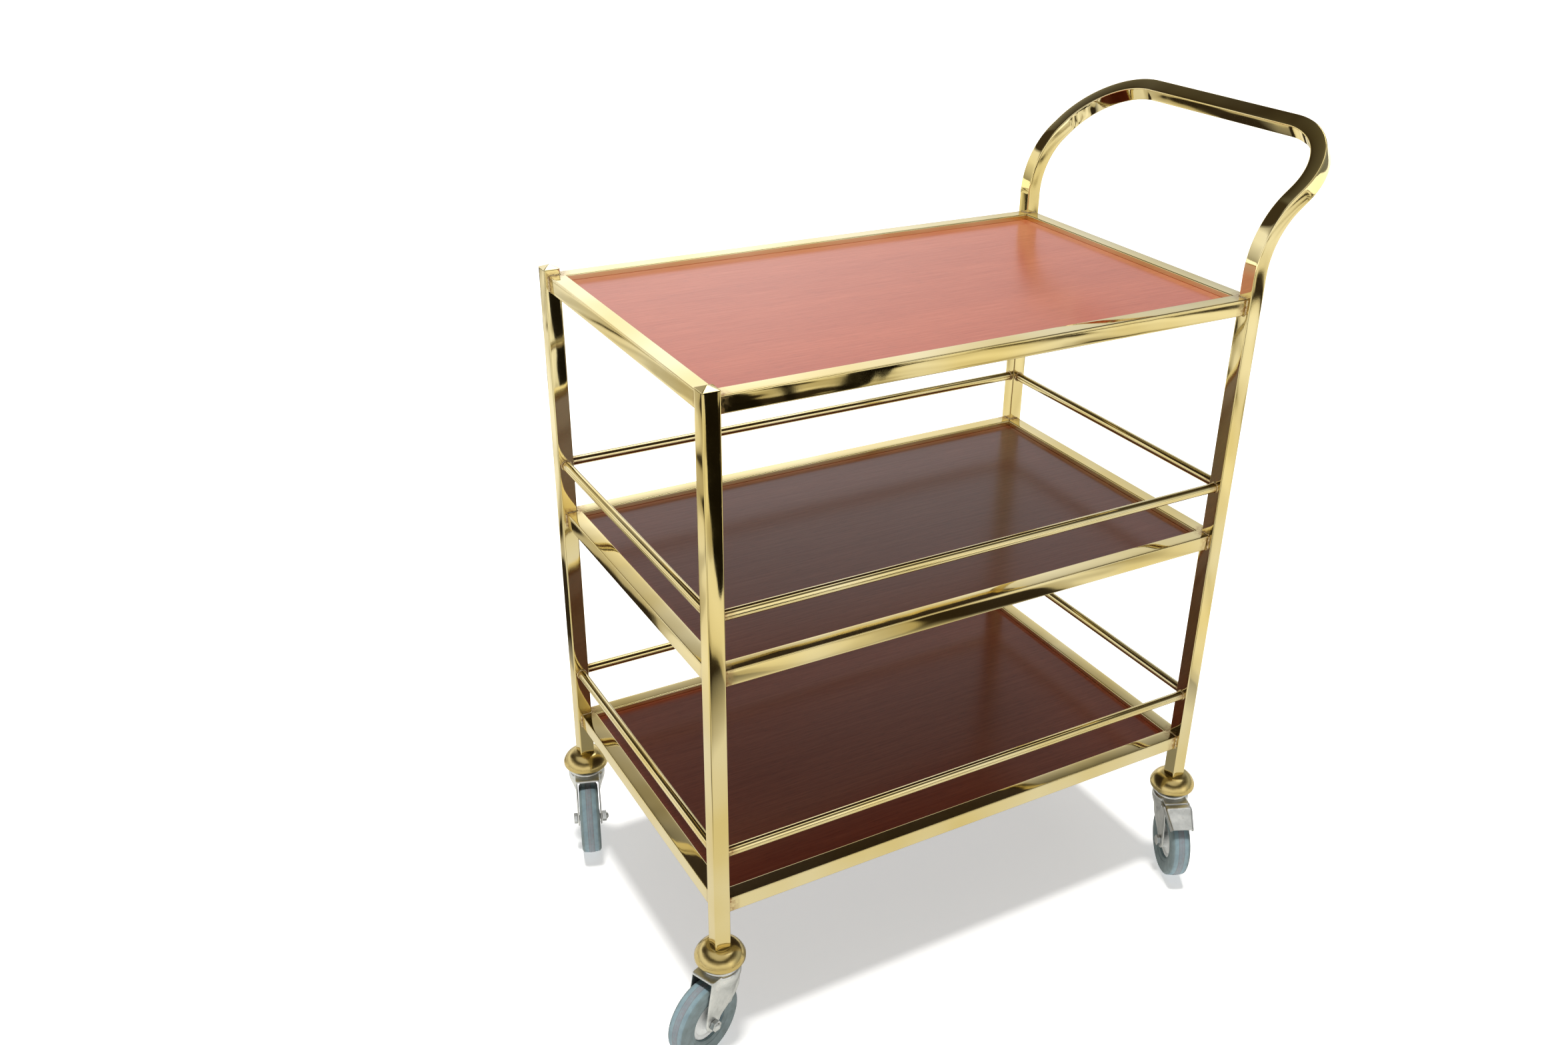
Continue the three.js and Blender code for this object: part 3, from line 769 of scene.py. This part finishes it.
def build_shelf(level):
    welds = Surface()
    rail_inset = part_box("bottom_front_rail")[0].y - post_low.y
    shoulder = TUBE - rail_inset
    for side in SIDES:
        node_name = f"{level}_{side}_rail"
        low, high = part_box(node_name)
        span = (RIGHT - LEFT if side in ("front", "back") else BACK - FRONT) - TUBE
        matrix = side_matrix(side, low, high)
        rail = rail_surface(span, shoulder)
        surface = Surface().add(rail.vertices, rail.faces, matrix)
        mesh = shade(mesh_of(node_name, surface))
        piece(f"{node_name}_tube", mesh, rail_gold, "frame", [node_name])
        for end in (-1, 1):
            x = end * span / 2
            beads = [  # first point, last point, radius and length of a ripple
                ((x, 0, -TUBE + MM), (x, 0, -MM), WELD_RADIUS, WELD_PITCH),
                ((x, MM, -TUBE), (x, shoulder, -TUBE), WELD_RADIUS, WELD_PITCH),
                ((x, MM, 0), (x, shoulder, 0), WELD_RADIUS * 0.55, 2 * MM),
            ]
            for first, last, radius, pitch in beads:
                points = evenly(Vector(first), Vector(last), WELD_STEP)
                welds.add(*bead(points, X_AXIS, radius, pitch), matrix)
    mesh = shade(mesh_of(f"{level}_shelf_welds", welds), 60)
    piece(f"{level}_shelf_weld_beads", mesh, weld_gold, "frame")

    node_name = f"{level}_panel"
    low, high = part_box(node_name)
    mesh = shade(mesh_of(node_name, Surface().add(*block(low, high))))
    board = piece(f"{node_name}_board", mesh, wood, "frame", [node_name])
    soften_edges(board, 0.6 * MM, 3, 40)
    board.modifiers.move(len(board.modifiers) - 1, 0)    # ahead of the weighted normals


def build_guard_rods(level):
    welds = Surface()
    for side in SIDES:
        node_name = f"{level}_{side}_guard_rod"
        low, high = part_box(node_name)
        middle = (low + high) / 2
        radius = (high.z - low.z) / 2
        along = X_AXIS if side in ("front", "back") else Y_AXIS
        half = (high - low).dot(along) / 2 + 0.3 * MM
        matrix = Matrix.Translation(middle) @ along.to_track_quat("Z", "Y").to_matrix().to_4x4()
        mesh = turned_mesh(node_name, cylinder(radius, -half, half), 56, matrix)
        piece(f"{node_name}_bar", mesh, rail_gold, "frame", [node_name])
        ring_radius = radius + 0.3 * MM
        for end in (-1, 1):
            height = end * (half - 0.6 * MM)
            circle = [
                matrix @ Vector((ring_radius * math.cos(a), ring_radius * math.sin(a), height))
                for a in full_turn(96)
            ]
            welds.add(*bead(circle, along, 0.9 * MM, 2 * math.pi * ring_radius / 18, closed=True))
    mesh = shade(mesh_of(f"{level}_guard_welds", welds), 60)
    piece(f"{level}_guard_weld_rings", mesh, weld_gold, "frame")


# ---------------------------------------------------------------- dome cups and stems
def dome_mesh():
    """Spun cup: a curl under the mouth, an upright band, then a dome up to the leg."""
    low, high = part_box("front_left_dome_cup")
    radius, bottom, top = (high.x - low.x) / 2, low.z, high.z
    crown, waist, wall, band = 12.5 * MM, 8.2 * MM, 2 * MM, 3.2 * MM
    rise = top - 0.4 * MM - (bottom + waist)
    shoulder = math.radians(24)
    over = [
        (
            crown + (radius - crown) * math.cos(a) / math.cos(shoulder),
            bottom + waist + rise * (math.sin(a) - math.sin(shoulder)) / (1 - math.sin(shoulder)),
        )
        for a in (shoulder + (math.pi / 2 - shoulder) * k / 28 for k in range(28))
    ]
    under = [
        (radius - 4.8 * MM * (1 - math.cos(a)), bottom + MM + (waist - band - MM) * (1 - math.sin(a)))
        for a in (math.pi / 2 * k / 12 for k in range(12, -1, -1))
    ]
    lip = [(radius - 7.4 * MM, bottom), (radius - 5.6 * MM, bottom)]
    inside = [(max(r - wall, 6 * MM), z - wall * 0.8) for r, z in reversed(over)]
    profile = lip + under + over + [(crown - 0.5 * MM, top), (6 * MM, top)] + inside
    return turned_mesh("dome_cup", profile, 96, angle=24)


def stem_mesh():
    """Plain stem, fixed upper race and king pin, turned in one piece; it has no thread."""
    low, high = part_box("front_left_caster_stem")
    under = FORK_TOP - 2.5 * MM
    profile = [
        (0, low.z, 0), (7 * MM, low.z, 0.4 * MM), (8 * MM, under - 2.5 * MM, 0.4 * MM),
        (8 * MM, under - 0.9 * MM, 0.2 * MM), (KING_PIN_RADIUS, under - 0.9 * MM, 0),
        (KING_PIN_RADIUS, FORK_TOP + 3 * MM, 0),
        (19 * MM, FORK_TOP + 3 * MM, 0.5 * MM), (21 * MM, FORK_TOP + 4.5 * MM, 0.6 * MM),
        (21 * MM, FORK_TOP + 6.5 * MM, 0.8 * MM), (9 * MM, FORK_TOP + 6.5 * MM, 1 * MM),
        (9 * MM, FORK_TOP + 13 * MM, 0.5 * MM), (5 * MM, FORK_TOP + 13 * MM, 0.5 * MM),
        (5 * MM, high.z - MM, 0), (4 * MM, high.z, 0), (0, high.z, 0),
    ]
    return turned_mesh("caster_stem", rounded(profile), 64)


# ---------------------------------------------------------------- casters
def fork_mesh():
    """Bell-shaped pressed fork: round crown with a skirt, running down into two flat ears."""
    def circle(z, radius):
        return [(radius * math.cos(a), radius * math.sin(a), z) for a in full_turn(72)]

    def ear_ring(z, front, rear, half_width):
        corner = min(3 * MM, (rear - front) / 3)
        outline = rounded([
            (rear, half_width, corner), (front, half_width, corner),
            (front, -half_width, corner), (rear, -half_width, corner),
        ], 4, closed=True)
        return [(g, w, z) for g, w in outline]

    bell = [  # height and outer radius, in millimetres
        (111, 20.5), (110.7, 22.3), (109.6, 24), (107.8, 24.9), (105, 25), (101, 24.7), (96, 23.4),
        (90, 21.3), (82, 18.9), (74, 17.2), (66, 16.0), (58, 15.0),
    ]
    ears = [  # height, leading edge and trailing edge along the trail, in millimetres
        (110.9, -9, 30.5), (110, -10, 31.6), (103, -15, 33), (95, -18.6, 34.8), (88, -17.4, 36.6),
        (78, -15.5, 38.6), (72, -12, 39.6), (67.5, -8, 40.3), (60.5, 3, 41.6), (55, 13, 42.6),
        (49, 19.9, 43), (44, 21.4, 41.7), (40.5, 24, 39.1), (38.4, 27, 36), (37.6, 29.6, 33.4),
    ]
    outer = loft([circle(z * MM, radius * MM) for z, radius in bell])
    ear_block = loft([ear_ring(z * MM, front * MM, rear * MM, EAR_OUTER) for z, front, rear in ears])
    hollow = loft(
        [circle(FORK_TOP - 2.6 * MM, 20.5 * MM)]
        + [circle(z * MM, radius * MM - FORK_WALL) for z, radius in bell[3:]]
        + [circle(50 * MM, 12 * MM)]
    )
    slot_half = EAR_OUTER - 2.1 * MM
    slot = block((-40 * MM, -slot_half, 20 * MM), (60 * MM, slot_half, 97.5 * MM))
    mouth = block((12 * MM, -slot_half, 80 * MM), (60 * MM, slot_half, FORK_TOP - 2.6 * MM))
    race = lathe(rounded([
        (0, FORK_TOP - MM, 0), (21.6 * MM, FORK_TOP - MM, 0), (21.6 * MM, FORK_TOP + 2.4 * MM, 1 * MM),
        (0, FORK_TOP + 2.4 * MM, 0),
    ]), 72)
    bore = lathe(cylinder(KING_PIN_BORE, FORK_TOP - 8 * MM, FORK_TOP + 5 * MM), 48)
    solid = combined(outer, [
        ("UNION", ear_block), ("DIFFERENCE", hollow), ("DIFFERENCE", slot), ("DIFFERENCE", mouth),
        ("UNION", race), ("DIFFERENCE", bore),
    ])
    return shade(pressed(solid, 0.65 * MM, 4), 60)


AXLE = Matrix.Translation((TRAIL, 0, WHEEL_RADIUS)) @ Matrix.Rotation(math.pi / 2, 4, "X")


def hexagon(across_flats, z):
    radius = across_flats / math.sqrt(3)
    return [(radius * math.cos(a), radius * math.sin(a), z) for a in full_turn(6)]


def hex_head(low, high):
    """Hexagon with chamfered ends, along Z."""
    chamfer = 0.5 * MM
    end_size = ACROSS_FLATS - 1.2 * MM
    return loft([
        hexagon(end_size, low),
        hexagon(ACROSS_FLATS, low + chamfer),
        hexagon(ACROSS_FLATS, high - chamfer),
        hexagon(end_size, high),
    ])


# The axle's +Z is the caster's -Y: the bolt head is at +Z and the cap nut at -Z.
def bolt_mesh():
    seat = EAR_OUTER + 0.25 * MM
    surface = Surface().add(*hex_head(seat, seat + 5.3 * MM), AXLE)
    surface.add(*lathe(cylinder(SHANK_RADIUS, -seat - 6 * MM, seat + MM), 40), AXLE)
    return shade(mesh_of("axle_bolt", surface))


def nut_mesh():
    seat = -EAR_OUTER - 0.25 * MM
    surface = Surface().add(*hex_head(seat - 6 * MM, seat), AXLE)
    dome_start = seat - 5 * MM
    dome_rise = 4.2 * MM
    dome = [
        (5 * MM * math.cos(a), dome_start - dome_rise * math.sin(a))
        for a in (math.pi / 2 * k / 14 for k in range(14))
    ]
    surface.add(*lathe([(0, dome_start)] + dome + [(0, dome_start - dome_rise)], 48), AXLE)
    return shade(mesh_of("axle_nut", surface))


def wheel_profile(half):
    """Closed profile from its upper half, in millimetres: radius, height and corner radius."""
    whole = half + [(r, -y, corner) for r, y, corner in reversed(half)]
    return rounded([(r * MM, y * MM, corner * MM) for r, y, corner in whole], 4, closed=True)


def hub_mesh():
    """Dished hub with a tubular boss and a low rim, sunk a little below the tyre."""
    half = [
        (4.2, 14, 0.3), (9.2, 14, 0.8), (10.2, 9, 1), (11.4, 7.2, 1), (19, 6.2, 1), (21, 7.4, 0.8),
        (23.6, 7.8, 0.6), (25.2, 7.2, 0.4),
    ]
    return turned_mesh("wheel_hub", wheel_profile(half), 96, AXLE)


def tyre_mesh():
    """Rubber tyre: stepped walls, round shoulders, moulding lines and a fine groove round the middle."""
    half = [
        (25.75, 10.4, 0.2), (28.6, 11.6, 0.6), (29.6, 11.5, 0.3), (31.2, 12.5, 0.6), (38, 13.4, 5),
        (44.5, 13.1, 3), (47.6, 11.2, 1.6), (48.1, 8.6, 0.3), (47.9, 8.3, 0.15), (48.2, 8.0, 0.3),
        (48.95, 1.1, 0.2), (48.7, 0.5, 0.15),
    ]
    return turned_mesh("tyre", wheel_profile(half), 144, AXLE, 50)


def pedal_mesh():
    """Bent plate with a deep flange down each side; only the flanges run on ahead of the plate."""
    # The outline is worked out in millimetres; g runs along the trail from the swivel axis.
    line = rounded([(19.5, 109.9, 0), (41, 109.9, 5), (68.4, 94.7, 0)], 8)
    station_step = 1.1
    taper_start, taper_length = 43, 27
    thin_start, thin_length, thinned_by = 38, 12, 3.2
    nose_start, nose_radius = 25, 6
    toe_start, toe_length, toe_depth, toe_drop = 66, 2.4, 5.0, 2.0
    half_thick = PEDAL_THICK / MM / 2
    full_depth = PEDAL_FLANGE_DEPTH / MM
    radius = PEDAL_FLANGE_RADIUS / MM
    stations = []
    for (g0, z0), (g1, z1) in zip(line, line[1:]):
        parts = max(1, round(math.hypot(g1 - g0, z1 - z0) / station_step))
        stations += [(g0 + (g1 - g0) * i / parts, z0 + (z1 - z0) * i / parts) for i in range(parts)]
    stations.append(line[-1])
    vertices = []
    for i, (g, z) in enumerate(stations):
        g0, z0 = stations[max(i - 1, 0)]
        g1, z1 = stations[min(i + 1, len(stations) - 1)]
        length = math.hypot(g1 - g0, z1 - z0)
        down = ((z1 - z0) / length, -(g1 - g0) / length)
        taper = min(1, max(0, (g - taper_start) / taper_length))
        half = (PEDAL_WIDTH + (PEDAL_TOE_WIDTH - PEDAL_WIDTH) * taper) / MM - half_thick
        depth = full_depth - thinned_by * min(1, max(0, g - thin_start) / thin_length)
        if g < nose_start:
            depth *= math.sqrt(1 - ((nose_start - g) / nose_radius) ** 2)
        along_toe = max(0, g - toe_start) / toe_length
        depth = min(depth, toe_depth + toe_drop * math.sqrt(max(0, 1 - along_toe ** 2)))
        section = [(half - radius, 0)]
        section += [
            (half - radius + radius * math.sin(a), radius * (1 - math.cos(a)))
            for a in (math.pi / 2 * k / 5 for k in range(1, 6))
        ]
        section.append((half, depth))
        middle = [(w * (half - radius) / 8, 0) for w in range(-7, 8)]
        across = [(-w, d) for w, d in reversed(section)] + middle + section
        count = len(across)
        vertices += [((g + down[0] * d) * MM, w * MM, (z + down[1] * d) * MM) for w, d in across]
    faces = []
    for i in range(len(stations) - 1):
        for j in range(count - 1):
            side_flange = j in (0, count - 2)
            ahead_of_plate = stations[i][0] < PEDAL_START / MM
            if ahead_of_plate and not side_flange:
                continue
            faces.append((i * count + j, i * count + j + 1, (i + 1) * count + j + 1, (i + 1) * count + j))
    mesh = bpy.data.meshes.new("pedal_sheet")
    mesh.from_pydata(vertices, [], faces)
    helper = linked("helper", mesh)
    solidify = helper.modifiers.new("thickness", "SOLIDIFY")
    solidify.thickness = PEDAL_THICK
    solidify.offset = 0
    soften_edges(helper, 0.4 * MM, 2, 50)
    return shade(evaluated(helper), 50)


def pin_mesh():
    """Riveted pedal pin with a low round head at each end."""
    joint = joint_place("front_right_brake_pedal")
    reach = PEDAL_WIDTH + 1.4 * MM
    profile = rounded([
        (0, -reach, 0), (2.2 * MM, -reach, 0.6 * MM), (3.4 * MM, -reach + 1.2 * MM, 0.3 * MM),
        (2.4 * MM, -reach + 1.2 * MM, 0), (2.4 * MM, reach - 1.2 * MM, 0),
        (3.4 * MM, reach - 1.2 * MM, 0.3 * MM), (2.2 * MM, reach, 0.6 * MM), (0, reach, 0),
    ])
    foot = LEGS["front_right"]
    along = math.hypot(joint.x - foot.x, joint.y - foot.y)
    matrix = Matrix.Translation((along, 0, joint.z)) @ Matrix.Rotation(math.pi / 2, 4, "X")
    return turned_mesh("brake_pin", profile, 40, matrix)


def joint_place(name):
    joint = next(j for j in frame["joints"] if j["name"] == name)
    return Vector(joint["pos_m"])


def build_casters():
    dome, stem, fork = dome_mesh(), stem_mesh(), fork_mesh()
    bolt, nut, hub, tyre = bolt_mesh(), nut_mesh(), hub_mesh(), tyre_mesh()
    pin, pedal = pin_mesh(), pedal_mesh()
    for name in CASTERS:
        foot = LEGS[name]
        trail = joint_place(f"{name}_wheel_spin") - joint_place(f"{name}_swivel")
        upright = Matrix.Translation(foot)
        turned = upright @ Matrix.Rotation(math.atan2(trail.y, trail.x), 4, "Z")
        caster, wheel = f"{name}_caster", f"{name}_wheel"
        parts = [
            ("dome_cup", "shell", dome, cup_gold, "gold_plate", "frame", upright),
            ("caster_stem", "turning", stem, zinc, "zinc_plate", "frame", upright),
            ("fork", "pressing", fork, zinc, "zinc_plate", caster, turned),
            ("axle_bolt", "hex", bolt, zinc, "zinc_plate", caster, turned),
            ("axle_nut", "cap", nut, zinc, "zinc_plate", caster, turned),
            ("wheel_hub", "moulding", hub, hub_grey, "hub_polymer", wheel, turned),
            ("tyre", "rubber", tyre, rubber, "tyre_rubber", wheel, turned),
        ]
        if name in BRAKED:
            parts += [
                ("brake_pin", "rivet", pin, zinc, "zinc_plate", caster, turned),
                ("brake_pedal", "plate", pedal, zinc, "zinc_plate", f"{name}_brake", turned),
            ]
        for node_name, form, mesh, material, slot, body, matrix in parts:
            cad_node = f"{name}_{node_name}"
            piece(f"{cad_node}_{form}", mesh, material, body, [cad_node], matrix)


# ---------------------------------------------------------------- stage, light and camera
def stage_object(name, mesh, material):
    """Puts a mesh in the scene as part of the stage, not of the cart."""
    mesh.materials.append(material)
    made = linked(name, mesh)
    return made


def only_in_reflections(made):
    made.visible_camera = False
    made.visible_diffuse = False
    made.visible_shadow = False


def build_floor():
    slab = block((-60, -60, -0.05), (60, 60, -0.0005))
    mesh = mesh_of("floor", Surface().add(*slab))
    stage_object("floor", mesh, floor_material())


def build_overhead_light():
    """One soft source almost straight above the cart, not mirrored in the gold."""
    light = bpy.data.lights.new("overhead", "SUN")
    light.angle = math.radians(12)
    light.energy = 3.8
    light.color = (1.0, 0.985, 0.96)
    made = linked("overhead", light)
    made.rotation_euler = Vector((0.0, -0.02, -1)).to_track_quat("-Z", "Y").to_euler()
    made.visible_glossy = False


def spot(tree, place, towards, inner, outer):
    """Mask round one direction of the surround: 1 inside the inner angle, 0 outside the outer one."""
    along = vector_node(tree, "DOT_PRODUCT", place, Vector(towards).normalized())
    return remap(tree, along, math.cos(math.radians(outer)), math.cos(math.radians(inner)), 0, 1)


WARM_BLACK = (0.04, 0.03, 0.018)
SOFT_WHITE = (1, 1, 0.98)
# direction, then the angles in degrees where each one starts to fade and is gone
FLAG = ((-0.35, 0.70, 0.62), 12, 15)
KEY_BOX = ((0.37, 0.44, 0.82), 7, 9)
FILL_BOX = ((0.44, -0.02, 0.90), 9, 11)
SURROUND_STRENGTH = 0.43           # as the soft surfaces see it
MIRRORED_EXTRA = 1.03              # added where the metal mirrors it
KEY_BOX_GAIN = 3.0                 # how much more of that extra the key box has


def build_world():
    """Studio surround: bright low down, dark higher up, paler overhead, two soft boxes and a flag."""
    world = bpy.data.worlds.new("studio")
    bpy.context.scene.world = world
    world.use_nodes = True
    tree = world.node_tree
    tree.nodes.clear()
    place = node(tree, "ShaderNodeTexCoord").outputs["Generated"]
    split = node(tree, "ShaderNodeSeparateXYZ", {"Vector": place})
    wander = remap(tree, noise(tree, place, 2.2, 2), 0.3, 0.7, -0.05, 0.05)
    colour = ramp(tree, math_node(tree, "ADD", split.outputs["Z"], wander), [
        (0.00, (0.42, 0.41, 0.38)),
        (0.14, (0.75, 0.74, 0.72)),
        (0.27, (1.0, 1.0, 0.98)),
        (0.42, (1.0, 0.99, 0.97)),
        (0.50, (0.58, 0.56, 0.52)),
        (0.60, (0.26, 0.24, 0.20)),
        (0.67, (0.12, 0.11, 0.09)),
        (0.73, WARM_BLACK),
        (0.82, (0.16, 0.15, 0.12)),
        (0.88, (0.60, 0.58, 0.53)),
        (1.00, (0.72, 0.71, 0.68)),
    ])
    sideways = ramp(tree, split.outputs["X"], [
        (0.14, (0.80, 0.80, 0.80)),
        (0.26, (1, 1, 1)),
        (0.42, (1, 1, 1)),
        (0.58, (0.66, 0.66, 0.65)),
        (0.80, (0.40, 0.42, 0.44)),
    ])
    colour = mix(tree, 1.0, colour, sideways, "MULTIPLY")
    key_box = spot(tree, place, *KEY_BOX)
    colour = mix(tree, spot(tree, place, *FLAG), colour, WARM_BLACK)
    colour = mix(tree, key_box, colour, SOFT_WHITE)
    colour = mix(tree, spot(tree, place, *FILL_BOX), colour, SOFT_WHITE)
    path = node(tree, "ShaderNodeLightPath")
    gain = remap(tree, key_box, 0, 1, 1.0, KEY_BOX_GAIN)
    mirrored = math_node(tree, "MULTIPLY", path.outputs["Is Glossy Ray"], gain)
    extra = math_node(tree, "MULTIPLY", mirrored, MIRRORED_EXTRA)
    strength = math_node(tree, "ADD", extra, SURROUND_STRENGTH)
    backdrop = path.outputs["Is Camera Ray"]
    colour = mix(tree, backdrop, colour, (1, 1, 1))
    strength = math_node(tree, "MAXIMUM", strength, backdrop)
    background = node(tree, "ShaderNodeBackground", {"Color": colour, "Strength": strength})
    output = node(tree, "ShaderNodeOutputWorld")
    tree.links.new(background.outputs["Background"], output.inputs["Surface"])


def build_dark_card():
    """Dark strips on the floor in front of the cart, there only for the polished metal to reflect."""
    near, far = -1.15, -3.6        # along Y
    strips = [  # along X: the left and right edge at the near end, then at the far end
        ((0.10, 0.27), (0.55, 1.16)),
        ((0.30, 0.315), (1.32, 1.40)),
        ((0.345, 0.40), (1.69, 1.96)),
    ]
    cards = Surface()
    for (near_left, near_right), (far_left, far_right) in strips:
        outline = [(near_left, near), (far_left, far), (far_right, far), (near_right, near)]
        cards.add(*prism(outline, 4 * MM, 6 * MM))
    mesh = mesh_of("dark_card", cards)
    material, tree, shader, place = new_material("dark_card")
    colour = mix(tree, noise(tree, place, 4), (0.004, 0.003, 0.002), (0.012, 0.010, 0.006))
    tree.links.new(colour, shader.inputs["Base Color"])
    shader.inputs["Roughness"].default_value = 1.0
    shader.inputs["Specular IOR Level"].default_value = 0.0
    only_in_reflections(stage_object("dark_card", mesh, material))


def build_floor_gel():
    """Patchy grey gel over the floor, there only for the polished metal to reflect."""
    sheet = [(x, y, 3 * MM) for x, y in rectangle((-5, -5), (5, 5))]
    mesh = mesh_of("floor_gel", Surface().add(sheet, [(0, 1, 2, 3)]))
    material = bpy.data.materials.new("floor_gel")
    material.use_nodes = True
    tree = material.node_tree
    tree.nodes.clear()
    place = node(tree, "ShaderNodeTexCoord").outputs["Object"]
    tone = ramp(tree, noise(tree, place, 1.9, 1, 0.5, 0.6), [
        (0.40, (0.02, 0.015, 0.01)),
        (0.415, (0.34, 0.31, 0.22)),
        (0.47, (0.44, 0.42, 0.35)),
        (0.50, (0.58, 0.56, 0.48)),
        (0.68, (0.70, 0.69, 0.63)),
    ])
    reach = vector_node(tree, "LENGTH", place)
    tone = mix(tree, remap(tree, reach, 0.75, 0.95, 0, 1), (0.54, 0.53, 0.49), tone)
    clear = node(tree, "ShaderNodeBsdfTransparent", {"Color": tone}).outputs["BSDF"]
    output = node(tree, "ShaderNodeOutputMaterial")
    tree.links.new(clear, output.inputs["Surface"])
    only_in_reflections(stage_object("floor_gel", mesh, material))


CAMERA_PLACE = Vector((-0.9042, -1.3354, 1.3235))
CAMERA_YAW = math.radians(31.165)  # from +Y towards +X
CAMERA_PITCH = math.radians(27.833)
CAMERA_ROLL = math.radians(1.737)


def build_camera():
    data = bpy.data.cameras.new("camera")
    data.sensor_width = 36
    data.lens = 32.54
    data.shift_x = -0.0443
    data.shift_y = 0.0186
    data.clip_end = 400
    camera = linked("camera", data)
    forward = Vector((
        math.sin(CAMERA_YAW) * math.cos(CAMERA_PITCH),
        math.cos(CAMERA_YAW) * math.cos(CAMERA_PITCH),
        -math.sin(CAMERA_PITCH),
    ))
    level_right = Vector((math.cos(CAMERA_YAW), -math.sin(CAMERA_YAW), 0))
    level_up = level_right.cross(forward)
    right = level_right * math.cos(CAMERA_ROLL) + level_up * math.sin(CAMERA_ROLL)
    up = level_up * math.cos(CAMERA_ROLL) - level_right * math.sin(CAMERA_ROLL)
    turn = Matrix((right, up, -forward)).transposed().to_4x4()
    camera.matrix_world = Matrix.Translation(CAMERA_PLACE) @ turn
    bpy.context.scene.camera = camera


build_camera()
build_posts()
build_finials()
build_hoop()
for shelf_level in LEVELS:
    build_shelf(shelf_level)
for shelf_level in LEVELS[:2]:
    build_guard_rods(shelf_level)
build_casters()

build_floor()
build_world()
build_overhead_light()
build_dark_card()
build_floor_gel()
bpy.context.scene.view_settings.view_transform = "Standard"
